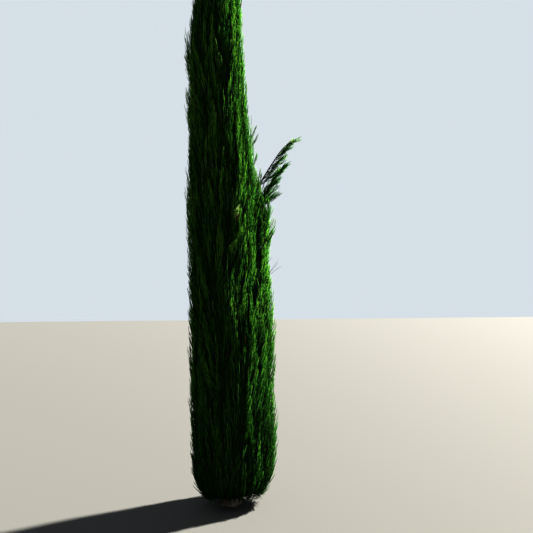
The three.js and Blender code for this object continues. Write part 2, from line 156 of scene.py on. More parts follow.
class Shader:
    """A material's node tree, built round one Principled shader."""

    def __init__(self, name: str) -> None:
        """Makes the material.

        Args:
            name: the material's name.
        """
        self.material = bpy.data.materials.new(name)
        self.material.use_nodes = True
        self.tree = self.material.node_tree
        self.surface = self.tree.nodes["Principled BSDF"]

    def node(self, kind: str, settings: dict | None = None, **inputs: object) -> bpy.types.Node:
        """Adds a node.

        Args:
            kind: the node's type.
            settings: properties that are set before the inputs. A ramp's stops are pairs under "stops".
            inputs: values, Value objects or sockets by the input's name, with _ for a space.

        Returns:
            The new node.
        """
        made = self.tree.nodes.new(kind)
        for key, value in (settings or {}).items():
            if key == "stops":
                self._set_stops(made.color_ramp, value)
            else:
                setattr(made, key, value)
        for key, value in inputs.items():
            self.plug(made.inputs[key.replace("_", " ")], value)
        return made

    def plug(self, slot: bpy.types.NodeSocket, value: object) -> None:
        """Links or sets one input socket.

        Args:
            slot: the input socket.
            value: a Value, an output socket, or a plain value.
        """
        if isinstance(value, Value):
            self.tree.links.new(value.socket, slot)
        elif isinstance(value, bpy.types.NodeSocket):
            self.tree.links.new(value, slot)
        else:
            slot.default_value = value

    @staticmethod
    def _set_stops(ramp: bpy.types.ColorRamp, stops: Sequence[tuple[float, tuple]]) -> None:
        """Gives a ramp its stops.

        Args:
            ramp: the colour ramp.
            stops: pairs of position and colour.
        """
        while len(ramp.elements) < len(stops):
            ramp.elements.new(1.0)
        for element, (position, colour) in zip(ramp.elements, stops):
            element.position = position
            element.color = (*colour, 1.0)

    def noise(self, place: bpy.types.NodeSocket, scale: float, **inputs: float) -> Value:
        """Adds a noise pattern.

        Args:
            place: coordinates that the pattern reads.
            scale: the pattern's scale.
            inputs: the node's other inputs by name.

        Returns:
            The pattern's value.
        """
        made = self.node("ShaderNodeTexNoise", Vector=place, Scale=scale, **inputs)
        return Value(self.tree, made.outputs["Fac"])

    def ramp(self, level: Value, *stops: tuple[float, tuple]) -> bpy.types.NodeSocket:
        """Adds a colour ramp.

        Args:
            level: the value that is looked up.
            stops: pairs of position and colour.

        Returns:
            The ramp's colour.
        """
        return self.node("ShaderNodeValToRGB", {"stops": stops}, Fac=level).outputs["Color"]

    def mixed(self, share: object, first: object, second: object) -> bpy.types.NodeSocket:
        """Mixes two colours.

        Args:
            share: share of the second colour.
            first: the first colour.
            second: the second colour.

        Returns:
            The mixed colour.
        """
        made = self.node("ShaderNodeMix", {"data_type": "RGBA"})
        for number, value in ((0, share), (6, first), (7, second)):
            self.plug(made.inputs[number], value)
        return made.outputs[2]

    def finish(self, **inputs: object) -> bpy.types.Material:
        """Sets the Principled shader's inputs.

        Args:
            inputs: values or links by the input's name, with _ for a space.

        Returns:
            The finished material.
        """
        for key, value in inputs.items():
            self.plug(self.surface.inputs[key.replace("_", " ")], value)
        return self.material

    def plain(self, colour: Colour, roughness: float, gloss: float) -> bpy.types.Material:
        """Finishes a material that is the same all over.

        Args:
            colour: base colour.
            roughness: roughness.
            gloss: specular level.

        Returns:
            The finished material.
        """
        return self.finish(Base_Color=(*colour, 1.0), Roughness=roughness, Specular_IOR_Level=gloss)


# Finishes


@dataclass(frozen=True)
class LeafFinish:
    """One plain green, or the dry brown, of the scale leaves."""

    tone: Tone
    colour: Colour
    roughness: float = 0.75
    gloss: float = 0.0

    def material(self) -> bpy.types.Material:
        """Makes the material."""
        shader = Shader(f"leaf_{self.tone.name.lower()}")
        return shader.plain(self.colour, self.roughness, self.gloss)


LEAF_FINISHES = (
    LeafFinish(Tone.DEEP, (0.0060, 0.0320, 0.0045)),
    LeafFinish(Tone.SHADE, (0.0120, 0.0570, 0.0072)),
    LeafFinish(Tone.MID, (0.0230, 0.0960, 0.0125)),
    LeafFinish(Tone.FRESH, (0.0440, 0.1550, 0.0200)),
    LeafFinish(Tone.TIP, (0.0950, 0.2400, 0.0300)),
    # The pale green is a painted highlight for sunlit shoot tips.
    LeafFinish(Tone.PALE_HIGHLIGHT, (0.3000, 0.4500, 0.1400)),
    LeafFinish(Tone.DRY, (0.0800, 0.0550, 0.0280)),
)


@dataclass(frozen=True)
class BarkFinish:
    """Grey-brown bark with long furrows and patches of lichen."""

    name: str
    furrow: Colour = (0.045, 0.032, 0.024)
    ridge: Colour = (0.230, 0.180, 0.140)
    lichen: Colour = (0.290, 0.290, 0.230)
    grain: float = 38.0
    stretch: float = 0.14
    fleck_fineness: float = 4.0
    fleck_share: float = 0.2
    patch_width: float = 6.0
    furrow_level: float = 0.36
    ridge_level: float = 0.62
    lichen_levels: tuple[float, float] = (0.56, 0.7)
    lichen_share: float = 0.55
    depth: float = 0.6
    relief: float = 0.004
    smoothing: float = 0.2
    gloss: float = 0.05

    def material(self) -> bpy.types.Material:
        """Makes the material, its pattern drawn out along the trunk.

        Returns:
            The material.
        """
        shader = Shader(self.name)
        place = shader.node("ShaderNodeTexCoord").outputs["Object"]
        drawn_out = shader.node("ShaderNodeMapping", Vector=place, Scale=(1.0, 1.0, self.stretch))
        strips = shader.noise(drawn_out.outputs["Vector"], self.grain, Detail=8.0, Roughness=0.62)
        flecks = shader.noise(place, self.grain * self.fleck_fineness, Detail=3.0)
        patches = shader.noise(place, self.grain / self.patch_width, Detail=2.0)
        height = strips * (1 - self.fleck_share) + flecks * self.fleck_share
        bark = shader.ramp(height, (self.furrow_level, self.furrow), (self.ridge_level, self.ridge))
        bare, grown = self.lichen_levels
        mask = shader.ramp(patches, (bare, (0.0,) * 3), (grown, (self.lichen_share,) * 3))
        bump = shader.node("ShaderNodeBump", Strength=self.depth, Distance=self.relief, Height=height)
        return shader.finish(
            Base_Color=shader.mixed(mask, bark, (*self.lichen, 1.0)),
            Roughness=1.0 - height * self.smoothing,
            Specular_IOR_Level=self.gloss,
            Normal=bump.outputs["Normal"],
        )


@dataclass(frozen=True)
class ShadedInnerFinish:
    """The old foliage behind the sprays, near black as painted shade deep in the crown, with dead brown
    in its hollows.
    """

    # All three colours are near black: painted shade of the crown's depth over old foliage and dead
    # twigs.
    brown: Colour = (0.012, 0.010, 0.007)
    dark: Colour = (0.004, 0.010, 0.003)
    green: Colour = (0.008, 0.030, 0.005)
    levels: tuple[float, float, float] = (0.38, 0.46, 0.64)
    grain: float = 55.0
    stretch: float = 0.2
    depth: float = 0.8
    relief: float = 0.012
    roughness: float = 0.95

    def material(self) -> bpy.types.Material:
        """Makes the material, streaked upwards like the shoots in front of it.

        Returns:
            The material.
        """
        shader = Shader("inner_foliage")
        place = shader.node("ShaderNodeTexCoord").outputs["Object"]
        drawn_out = shader.node("ShaderNodeMapping", Vector=place, Scale=(1.0, 1.0, self.stretch))
        streaks = shader.noise(drawn_out.outputs["Vector"], self.grain, Detail=5.0, Roughness=0.7)
        bump = shader.node("ShaderNodeBump", Strength=self.depth, Distance=self.relief, Height=streaks)
        return shader.finish(
            Base_Color=shader.ramp(streaks, *zip(self.levels, (self.brown, self.dark, self.green))),
            Roughness=self.roughness,
            Specular_IOR_Level=0.0,
            Normal=bump.outputs["Normal"],
        )


@dataclass(frozen=True)
class TwigFinish:
    """The brown-green rind of young shoots, or the grey-brown of bare ones."""

    name: str
    colour: Colour
    roughness: float = 0.85

    def material(self) -> bpy.types.Material:
        """Makes the material."""
        return Shader(self.name).plain(self.colour, self.roughness, gloss=0.0)


TRUNK_BARK = BarkFinish("bark")
BOUGH_BARK = BarkFinish(
    "bough_bark",
    furrow=(0.020, 0.016, 0.012),
    ridge=(0.070, 0.055, 0.045),
    lichen=(0.090, 0.090, 0.070),
    grain=90.0,
)
GREEN_TWIG = TwigFinish("green_twig", (0.007, 0.011, 0.003))
BARE_TWIG = TwigFinish("bare_twig", (0.016, 0.014, 0.009))


# Meshes from arrays

# The corners of the rods are set out from this direction, which no shoot follows exactly.
ROD_SIDE = np.array([0.31, 0.17, -0.94])


@dataclass
class Bundle:
    """Many small closed shapes gathered as arrays, to be joined in one mesh."""

    points: list[Array] = field(default_factory=list)
    triangles: list[Array] = field(default_factory=list)
    finishes: list[Array] = field(default_factory=list)
    count: int = 0

    def add(self, points: Array, triangles: Array, finishes: Array | int = 0) -> None:
        """Adds shapes.

        Args:
            points: corners, three numbers each.
            triangles: rows of three corner numbers within points.
            finishes: finish number for each triangle, or one for all.
        """
        self.points.append(points.reshape(-1, 3))
        self.triangles.append(triangles.reshape(-1, 3) + self.count)
        self.finishes.append(np.broadcast_to(finishes, len(self.triangles[-1])))
        self.count += len(self.points[-1])

    def mesh(self, name: str, materials: Iterable[bpy.types.Material]) -> bpy.types.Object:
        """Joins the shapes in one object.

        Args:
            name: the object's name.
            materials: materials in the order of the finish numbers.

        Returns:
            The new object, linked to the scene.
        """
        points = np.concatenate(self.points).astype(np.float32)
        triangles = np.concatenate(self.triangles).astype(np.int32)
        finishes = np.concatenate(self.finishes).astype(np.int32)
        mesh = bpy.data.meshes.new(name)
        mesh.vertices.add(len(points))
        mesh.vertices.foreach_set("co", points.ravel())
        mesh.loops.add(triangles.size)
        mesh.loops.foreach_set("vertex_index", triangles.ravel())
        mesh.polygons.add(len(triangles))
        mesh.polygons.foreach_set("loop_start", np.arange(0, triangles.size, 3, dtype=np.int32))
        mesh.polygons.foreach_set("material_index", finishes)
        for material in materials:
            mesh.materials.append(material)
        mesh.update(calc_edges=True)
        made = bpy.data.objects.new(name, mesh)
        bpy.context.scene.collection.objects.link(made)
        return made


def angles(*degrees: float) -> tuple[float, ...]:
    """Gives angles in radians."""
    return tuple(math.radians(angle) for angle in degrees)


def blend(ends: Sequence[float], share: Array) -> Array:
    """Gives the values that lie a share of the way from the first end to the last."""
    return ends[0] + (ends[1] - ends[0]) * share


def unit(vectors: Array) -> Array:
    """Gives vectors the length 1."""
    return vectors / np.maximum(np.linalg.norm(vectors, axis=-1, keepdims=True), 1e-9)


def across(along: Array, towards: Array) -> Array:
    """Gives the unit part of towards that is square to the unit vectors along."""
    return unit(towards - along * np.sum(along * towards, axis=-1, keepdims=True))


def bend_point(root: Array, knee: Array, tip: Array, share: Array) -> Array:
    """Gives points of quadratic curves.

    Args:
        root: start of each curve.
        knee: middle control point of each curve.
        tip: end of each curve.
        share: share of the way along, that broadcasts with the points.

    Returns:
        The points.
    """
    return root * (1 - share) ** 2 + knee * 2 * share * (1 - share) + tip * share**2


def bend_way(root: Array, knee: Array, tip: Array, share: Array) -> Array:
    """Gives unit directions of quadratic curves, with the arguments of bend_point."""
    return unit((knee - root) * (1 - share) + (tip - knee) * share)


def rods(
    root: Array, knee: Array, tip: Array, radii: tuple[float, float], steps: int
) -> tuple[Array, Array]:
    """Makes three-sided tapering rods along quadratic curves, closed at the root and drawn to a point.

    Args:
        root: start of each rod.
        knee: middle control point of each rod.
        tip: end of each rod.
        radii: radius at the root and towards the tip.
        steps: stretches along a rod.

    Returns:
        Corners and triangles.
    """
    shares = (np.arange(steps) / steps)[None, :, None]
    line = [part[:, None, :] for part in (root, knee, tip)]
    middle = bend_point(*line, shares)
    along = bend_way(*line, shares)
    side = across(along, ROD_SIDE)
    other = np.cross(along, side)
    radius = blend(radii, shares)
    turns = np.arange(3) * 2 * math.pi / 3
    spokes = [math.cos(turn) * side + math.sin(turn) * other for turn in turns]
    rings = np.stack([middle + radius * spoke for spoke in spokes], axis=2)
    corners = np.concatenate([rings.reshape(len(root), -1, 3), tip[:, None, :]], axis=1)
    point = steps * 3
    faces = [(0, 2, 1)]
    for step in range(steps):
        for i in range(3):
            low, low_next = step * 3 + i, step * 3 + (i + 1) % 3
            if step == steps - 1:
                faces.append((low, low_next, point))
            else:
                faces += [(low, low_next, low_next + 3), (low, low_next + 3, low + 3)]
    offsets = np.arange(len(root))[:, None, None] * (point + 1)
    return corners.reshape(-1, 3), (np.array(faces)[None] + offsets).reshape(-1, 3)


# The crown's shape, by the source's rule


def turn_between(start: float | Array, end: float | Array) -> Array:
    """Gives the shortest turn from one bearing to another."""
    return (np.asarray(end) - start + math.pi) % (2 * math.pi) - math.pi


def hump(offset: Array, half_width: float) -> Array:
    """Gives a smooth hump, 1 at the middle and 0 from the half width on."""
    return np.cos(np.minimum(1.0, np.abs(offset) / half_width) * math.pi / 2) ** 2


@dataclass(frozen=True)
class Wave:
    """A sine wave over a surface: its size, its turns along each coordinate, and where it starts."""

    size: float
    rates: tuple[float, ...]
    start: float = 0.0

    def at(self, *places: Array) -> Array:
        """Gives the wave at each place."""
        turns = sum(rate * place for rate, place in zip(self.rates, places))
        return self.size * np.sin(turns + self.start)


def swell(waves: Iterable[Wave], *places: Array) -> Array:
    """Gives the sum of the waves at each place."""
    return sum(wave.at(*places) for wave in waves)


@dataclass(frozen=True)
class Bulge:
    """A swelling in the crown's side or, with a negative depth, a hollow. One has a furrow beside it.

    half_angles says how far it spreads to the front and to the back.
    """

    foot: float
    top: float
    depth: float
    bearing: float
    half_angles: tuple[float, float]
    squareness: float = 1.0
    furrow: float = 0.0

    def stands(self, bearing: Array) -> Array:
        """Gives the swelling's depth at its middle height.

        Args:
            bearing: bearings round the crown.

        Returns:
            The depth at each bearing.
        """
        turn = turn_between(self.bearing, bearing)
        half = np.where(turn < 0, *self.half_angles)
        return self.depth * hump(turn, half) ** self.squareness


@dataclass(frozen=True)
class Crown:
    """Outline, lean and tiers of the crown.

    Each of its waves is its number of lobes, its pitch in height and its share of the radius.
    """

    height: float = 7.2
    top_lean: float = -0.25
    lean_power: float = 1.6
    radius: float = 0.43
    widest: float = 0.6
    skirt: float = 0.07
    skirt_tuck: float = 0.3
    tuck_power: float = 5.0
    return_from: float = 4.7
    return_to: float = 6.2
    return_reach: float = 0.08
    taper_power: float = 2.2
    taper_root: float = 0.75
    waves: tuple[tuple[int, float, float], ...] = ((2, 2.6, 0.025), (5, -1.5, 0.02))
    bulges: tuple[Bulge, ...] = (
        Bulge(foot=0.0, top=1.3, depth=0.076, bearing=0.0, half_angles=angles(52, 52)),
        Bulge(foot=1.15, top=2.76, depth=0.115, bearing=0.0, half_angles=angles(52, 52)),
        Bulge(
            foot=2.76,
            top=3.34,
            depth=0.165,
            bearing=math.radians(12),
            half_angles=angles(28, 34),
            squareness=0.35,
            furrow=0.075,
        ),
        Bulge(foot=3.6, top=4.5, depth=-0.022, bearing=0.0, half_angles=angles(60, 60)),
        Bulge(foot=0.0, top=1.1, depth=-0.035, bearing=math.pi, half_angles=angles(80, 80)),
        Bulge(foot=4.0, top=6.2, depth=0.045, bearing=math.pi, half_angles=angles(75, 75)),
    )
    bulge_rounding: float = 0.6
    furrow_bearing: float = math.radians(-25)
    furrow_half: float = math.radians(9)
    tier_tops: tuple[float, ...] = (1.15, 1.95, 2.7, 3.45, 4.2, 4.95, 5.65, 6.3)
    tier_plumes: tuple[int, ...] = (4, 4, 4, 4, 4, 4, 3, 3)
    steepness: float = 3.0
    rim_lobes: int = 3
    rim_depth: float = 0.12
    rim_turn: float = 1.9
    core_share: float = 0.9

    def lean(self, z: Array) -> Array:
        """Gives how far along X the axis stands.

        Args:
            z: heights.

        Returns:
            The axis's X at each height.
        """
        back = np.clip((z - self.return_from) / (self.return_to - self.return_from), 0.0, 1.0)
        upright = self.return_reach * back**2 * (3 - 2 * back)
        return self.top_lean * (np.maximum(z, 0.0) / self.height) ** self.lean_power + upright

    def point(self, bearing: Array, distance: Array, z: Array) -> Array:
        """Gives points round the leaning axis.

        Args:
            bearing: bearings round the axis.
            distance: distances from the axis.
            z: heights.

        Returns:
            The points.
        """
        bearing, distance, z = np.broadcast_arrays(bearing, distance, z)
        x = self.lean(z) + distance * np.cos(bearing)
        return np.stack([x, distance * np.sin(bearing), z], axis=-1)

    def column(self, z: Array) -> Array:
        """Gives the radius of the plain round column.

        Args:
            z: heights.

        Returns:
            The radius at each height.
        """
        above = np.clip((z - self.widest) / (self.height - self.widest), 0.0, 1.0)
        below = np.clip((self.widest - z) / (self.widest - self.skirt), 0.0, 1.0)
        taper = (1 - above**self.taper_power) ** self.taper_root
        return self.radius * taper * (1 - self.skirt_tuck * below**self.tuck_power)

    def reach(self, bearing: Array, z: Array) -> Array:
        """Gives how far the foliage reaches from the axis, with waves, swellings and the furrow.

        Args:
            bearing: bearings round the crown.
            z: heights.

        Returns:
            The reach at each place.
        """
        wave = 1.0 + sum(
            share * np.sin(lobes * bearing + 2 * math.pi * z / pitch)
            for lobes, pitch, share in self.waves
        )
        sunk = hump(turn_between(self.furrow_bearing, bearing), self.furrow_half)
        swelling = 0.0
        for bulge in self.bulges:
            share = np.clip((z - bulge.foot) / (bulge.top - bulge.foot), 0.0, 1.0)
            across_it = bulge.stands(bearing) - bulge.furrow * sunk
            swelling = swelling + across_it * np.sin(math.pi * share) ** self.bulge_rounding
        return self.column(z) * wave + swelling

    def is_leader(self, tier: int) -> bool:
        """Tells whether the number of a tier stands for the leader."""
        return tier >= len(self.tier_tops)

    def cone(self, tier: int, bearing: float, distance: float) -> float:
        """Gives the height of the cone over a tier.

        Args:
            tier: the tier, counted from 0, or -1 for the air under the skirt.
            bearing: bearing round the crown.
            distance: distance from the axis.

        Returns:
            The height.
        """
        if tier < 0:
            return self.skirt
        top = self.tier_tops[tier]
        rim = self.core_share * float(self.column(top))
        wave = self.rim_depth * math.sin(self.rim_lobes * bearing + self.rim_turn * tier)
        return top - self.steepness * rim + (self.steepness + wave / rim) * distance

    def rim_height(self, tier: int, bearing: float) -> float:
        """Gives the height where a tier's cone meets the outside of the crown.

        Args:
            tier: the tier, counted from 0, or -1 for the air under the skirt.
            bearing: bearing round the crown.

        Returns:
            The height.
        """
        top = self.skirt if tier < 0 else self.tier_tops[tier]
        near = self.core_share * float(self.reach(bearing, top))
        return self.cone(tier, bearing, near)


@dataclass
class Flames:
    """Small flame-shaped groups of shoots all over the crown, with dark furrows between them.

    proud says how far a group stands out, and sway how far its tips lean to one side.
    """

    crown: Crown
    draw: np.random.RandomState
    row: float = 0.3
    column: float = 0.115
    fewest: int = 5
    row_jitter: float = 0.42
    column_jitter: float = 0.3
    half_width: float = 0.066
    half_height: float = 0.25
    narrowing: float = 0.45
    uneven: float = 0.024
    most: float = 0.045
    sway_spread: float = math.radians(6)
    farthest: float = 0.3
    bearing: Array = field(init=False)
    height: Array = field(init=False)
    proud: Array = field(init=False)
    sway: Array = field(init=False)

    def __post_init__(self) -> None:
        """Sets the groups out on a jittered grid."""
        bearings, heights = [], []
        rows = round(self.crown.height / self.row)
        for row in range(rows):
            z = self.crown.height * (row + 0.5) / rows
            columns = max(self.fewest, round(2 * math.pi * float(self.crown.column(z)) / self.column))
            shift = self.draw.uniform(-self.column_jitter, self.column_jitter, columns)
            places = np.arange(columns) + 0.5 * (row % 2) + shift
            bearings.append(2 * math.pi * places / columns)
            heights.append(z + self.row * self.draw.uniform(-self.row_jitter, self.row_jitter, columns))
        self.bearing = np.concatenate(bearings)
        self.height = np.concatenate(heights)
        proud = self.draw.normal(0.0, self.uneven, len(self.bearing))
        self.proud = np.clip(proud, -self.most, self.most)
        self.sway = self.draw.normal(0.0, self.sway_spread, len(self.bearing))

    def at(self, bearing: Array, z: Array) -> tuple[Array, Array]:
        """Finds the group at each place.

        Args:
            bearing: bearings of the places.
            z: heights of the places.

        Returns:
            The group's number, and 1 in the middle of the group down to -1 in the furrows.
        """
        apart = turn_between(bearing[:, None], self.bearing[None])
        rise = (z[:, None] - self.height[None]) / self.half_height
        width = self.half_width * (1 - self.narrowing * np.clip(rise, 0.0, 1.0))
        level = 1 - (apart * self.crown.column(z)[:, None] / width) ** 2 - rise**2
        best = np.argmax(level, axis=1)
        return best, np.clip(level[np.arange(len(best)), best], -1.0, 1.0)

    def gathered(self, bearing: Array, z: Array, share: float) -> Array:
        """Draws bearings in towards the middle line of their group.

        Args:
            bearing: bearings of the places.
            z: heights of the places.
            share: share of the way to the middle line.

        Returns:
            The new bearings.
        """
        best, _ = self.at(bearing, z)
        turn = turn_between(bearing, self.bearing[best])
        return bearing + share * np.clip(turn, -self.farthest, self.farthest)


@dataclass
class Tufts:
    """Shoots that carry sprays: the root, the bend and the tip of each."""

    root: Array
    knee: Array
    tip: Array

    def wood(self, radii: tuple[float, float], steps: int) -> tuple[Array, Array]:
        """Makes the shoots' rods, with the radii and steps of rods."""
        return rods(self.root, self.knee, self.tip, radii, steps)


@dataclass
class PlumeTufts(Tufts):
    """A plume's upright shoots, and where the twig that carries each one leaves the plume's stem.

    share says how far each shoot stands out, as a share of the crown's reach.
    """

    stem: Array
    share: Array


@dataclass
class PlumeRule:
    """The seeded rule by which a plume's twigs and shoots grow on from its stem."""

    crown: Crown
    numbers: SeededNumbers
    flames: Flames
    furrow_share: float = 0.055
    furrow_level: float = 0.6
    gathering: float = 0.5
    row_height: float = 0.1
    column_width: float = 0.066
    row_jitter: float = 0.045
    column_jitter: float = 0.45
    rise: tuple[float, float] = (0.26, 0.44)
    least_rise: float = 0.05
    top_room: float = 0.004
    fewest_columns: int = 3
    reach: tuple[float, float] = (0.9, 1.03)
    close_below: float = 2.2
    loose_above: float = 3.2
    closeness: float = 0.5
    proud: float = 0.008
    knee_share: float = 0.9
    low_knee: float = 0.09
    low_height: float = 0.4
    root_inward: float = 0.06
    root_down: float = 0.07
    lowest_root: float = 0.08
    turn: float = math.radians(5)
    stem_reach: float = 0.72
    stem_room: float = 0.02
    stem_twigs: tuple[float, float] = (0.4, 0.95)

    def sector(self, tier: int, index: int) -> tuple[float, float]:
        """Gives a plume's sector of the crown.

        Args:
            tier: the plume's tier, counted from 0, or the number of tiers for the leader.
            index: the plume's place in its tier.

        Returns:
            The sector's middle bearing and half angle.
        """
        if self.crown.is_leader(tier):
            return 0.0, math.pi
        turn = 2 * math.pi / self.crown.tier_plumes[tier]
        return turn * (index + (0.0 if tier % 2 else 0.5)), turn / 2

    def stem_line(self, tier: int, index: int) -> tuple[Array, Array]:
        """Gives the line of a plume's stem.

        Args:
            tier: the plume's tier, counted from 0, or the number of tiers for the leader.
            index: the plume's place in its tier.

        Returns:
            The stem's foot and its tip.
        """
        crown = self.crown
        middle, _ = self.sector(tier, index)
        if crown.is_leader(tier):
            low, high = crown.tier_tops[-1], crown.height - self.stem_room
            return crown.point(0.0, 0.0, low), crown.point(0.0, 0.0, high)

        def halfway(distance: float) -> float:
            """Gives the height half-way between the cones under and over the plume."""
            return (crown.cone(tier - 1, middle, distance) + crown.cone(tier, middle, distance)) / 2

        reach = self.stem_reach * float(crown.reach(middle, crown.tier_tops[tier]))
        foot = crown.point(middle, 0.0, max(halfway(0.0), crown.skirt))
        return foot, crown.point(middle, reach, halfway(reach))

    def looseness(self, z: Array) -> Array:
        """Gives how loosely the shoots stand: 1 high up, and closer near the ground."""
        up = np.clip((z - self.close_below) / (self.loose_above - self.close_below), 0.0, 1.0)
        return self.closeness + (1 - self.closeness) * up

    def _places(self, tier: int, index: int) -> Array:
        """Sets a plume's shoots out on a jittered grid between the cones under and over it.

        Args:
            tier: the plume's tier, counted from 0, or the number of tiers for the leader.
            index: the plume's place in its tier.

        Returns:
            A row for each shoot: bearing and height, height and bearing of its tip, share of the reach.
        """
        crown, draw = self.crown, self.numbers
        middle, half = self.sector(tier, index)
        foot = crown.rim_height(tier - 1, middle)
        leader = crown.is_leader(tier)
        head = crown.height - self.rise[0] if leader else crown.rim_height(tier, middle)
        rows = max(1, round((head - foot) / self.row_height))
        made: list[tuple[float, ...]] = []
        for row in range(rows):
            level = (row + 0.5) / rows
            girth = 2 * half * float(crown.reach(middle, foot + (head - foot) * level))
            columns = max(self.fewest_columns, round(girth / self.column_width))
            for column in range(columns):
                place = (column + 0.5 + draw.either(self.column_jitter)) / columns
                bearing = middle + half * (2 * place - 1)
                low = crown.rim_height(tier - 1, bearing)
                high = head if leader else crown.rim_height(tier, bearing)
                z = low + (high - low) * level + draw.either(self.row_jitter)
                top = min(z + draw.between(*self.rise), crown.height - self.top_room)
                top_bearing = bearing + draw.either(self.turn)
                made.append((bearing, z, top, top_bearing, draw.between(*self.reach)))
        return np.array(made)

    def tufts(self, tier: int, index: int) -> PlumeTufts:
        """Grows one plume's shoots.

        Args:
            tier: the plume's tier, counted from 0, or the number of tiers for the leader.
            index: the plume's place in its tier.

        Returns:
            The shoots.
        """
        crown = self.crown
        bearing, z, top, top_bearing, share = self._places(tier, index).T
        z = np.maximum(z, crown.skirt)
        top = np.maximum(top, z + self.least_rise)
        best, level = self.flames.at(bearing, z)
        top_bearing = self.flames.gathered(top_bearing, z, self.gathering) + self.flames.sway[best]
        looseness = self.looseness(z)
        furrow = self.furrow_share * (level - self.furrow_level)
        relief = looseness * (furrow + self.flames.proud[best])
        middle_share = sum(self.reach) / 2
        share = middle_share + looseness * (share - middle_share) + relief
        low = self.low_knee * np.clip(1 - z / self.low_height, 0.0, 1.0)
        knee_reach = (self.knee_share + low + relief) * crown.reach(bearing, z)
        root_reach = np.maximum(knee_reach - self.root_inward, knee_reach / 2)
        stem_foot, stem_tip = self.stem_line(tier, index)
        root_z = np.maximum(z - self.root_down, self.lowest_root)
        along = np.clip((root_z - stem_foot[2]) / (stem_tip[2] - stem_foot[2]), *self.stem_twigs)
        return PlumeTufts(
            root=crown.point(bearing, root_reach, root_z),
            knee=crown.point(bearing, knee_reach, z),
            tip=crown.point(top_bearing, share * crown.reach(top_bearing, top) + self.proud, top),
            stem=stem_foot + (stem_tip - stem_foot) * along[:, None],
            share=share,
        )


# Sprays


@dataclass(frozen=True)
class SprayShape:
    """One spray of scale-leaved branchlets, of length 1 along +Z, that bows towards +X and back.

    fresher is 1 for each triangle of the spray's fresher end, and 0 for the others.
    """

    points: Array
    triangles: Array
    fresher: Array


@dataclass
class SprayGrower:
    """The seeded rule by which branchlets stand on a spray's axis.

    Its lengths are shares of the spray's, and tilt is in degrees.
    """

    draw: np.random.RandomState
    branchlets: int = 10
    bow: float = 0.04
    axis_radius: float = 0.014
    first: float = 0.1
    run: float = 0.84
    place_jitter: float = 0.3
    turn_jitter: float = 0.4
    tilt: tuple[float, float] = (6.0, 14.0)
    length: float = 0.42
    shortening: float = 0.55
    unevenness: tuple[float, float] = (0.78, 1.2)
    blade: tuple[float, float] = (0.027, 0.016)
    narrowing: float = 0.4
    tip_inward: float = 0.06
    fresh_from: float = 0.55

    def grow(self) -> SprayShape:
        """Grows one spray: its axis, with the branchlets round it.

        Returns:
            The spray.
        """
        draw, bundle = self.draw, Bundle()
        line = np.zeros((1, 3)), np.array([[2 * self.bow, 0.0, 0.5]]), np.array([[0.0, 0.0, 1.0]])
        bundle.add(*rods(*line, (self.axis_radius, self.axis_radius / 5), steps=2))
        for i in range(self.branchlets):
            place = i + draw.uniform(-self.place_jitter, self.place_jitter) + 0.5
            share = self.first + self.run * place / self.branchlets
            turn = GOLDEN_TURN * i + draw.uniform(-self.turn_jitter, self.turn_jitter)
            at, along = bend_point(*line, share)[0], bend_way(*line, share)[0]
            bundle.add(*self._branchlet(at, along, turn, share), 1 if share > self.fresh_from else 0)
        return SprayShape(*map(np.concatenate, (bundle.points, bundle.triangles, bundle.finishes)))

    def _branchlet(self, at: Array, along: Array, turn: float, share: float) -> tuple[Array, Array]:
        """Makes one branchlet, a slim spike whose tip bends in.

        Args:
            at: its foot on the axis.
            along: the axis's direction there.
            turn: how far it is turned round the axis.
            share: share of the way along the axis.

        Returns:
            Corners and triangles.
        """
        side = across(along, np.array([1.0, 0.0, 0.0]))
        away = math.cos(turn) * side + math.sin(turn) * np.cross(along, side)
        tilt = math.radians(self.draw.uniform(*self.tilt))
        way = math.cos(tilt) * along + math.sin(tilt) * away
        reach = self.length * (1 - self.shortening * share) * self.draw.uniform(*self.unevenness)
        wide = across(way, np.cross(along, away))
        width, depth = np.array(self.blade) * (1 - self.narrowing * share)
        deep = np.cross(way, wide) * depth
        corners = (
            at + wide * width,
            at - wide * width / 2 + deep,
            at - wide * width / 2 - deep,
            at + way * reach - away * reach * self.tip_inward,
        )
        return np.array(corners), np.array([(0, 2, 1), (0, 1, 3), (1, 2, 3), (2, 0, 3)])


@dataclass
class SpraySet:
    """Sprays by place: root, direction, the side that they bow to, length, shape and tone."""

    root: Array
    way: Array
    side: Array
    length: Array
    shape: Array
    tone: Array

    def fill(self, bundle: Bundle, shapes: Sequence[SprayShape]) -> None:
        """Puts the sprays in a bundle.

        Args:
            bundle: where the triangles go.
            shapes: the sprays to copy.
        """
        x = across(self.way, self.side)
        y = np.cross(self.way, x)
        for number, shape in enumerate(shapes):
            chosen = self.shape == number
            axes = np.stack([x[chosen], y[chosen], self.way[chosen]], axis=1)
            points = shape.points @ (axes * self.length[chosen, None, None]) + self.root[chosen, None, :]
            offsets = np.arange(chosen.sum())[:, None, None] * len(shape.points)
            tone = self.tone[chosen, None]
            green = np.minimum(tone + shape.fresher[None, :], Tone.TIP.value)
            finishes = np.where(tone > Tone.TIP.value, tone, green)
            bundle.add(points, shape.triangles[None] + offsets, finishes.ravel())


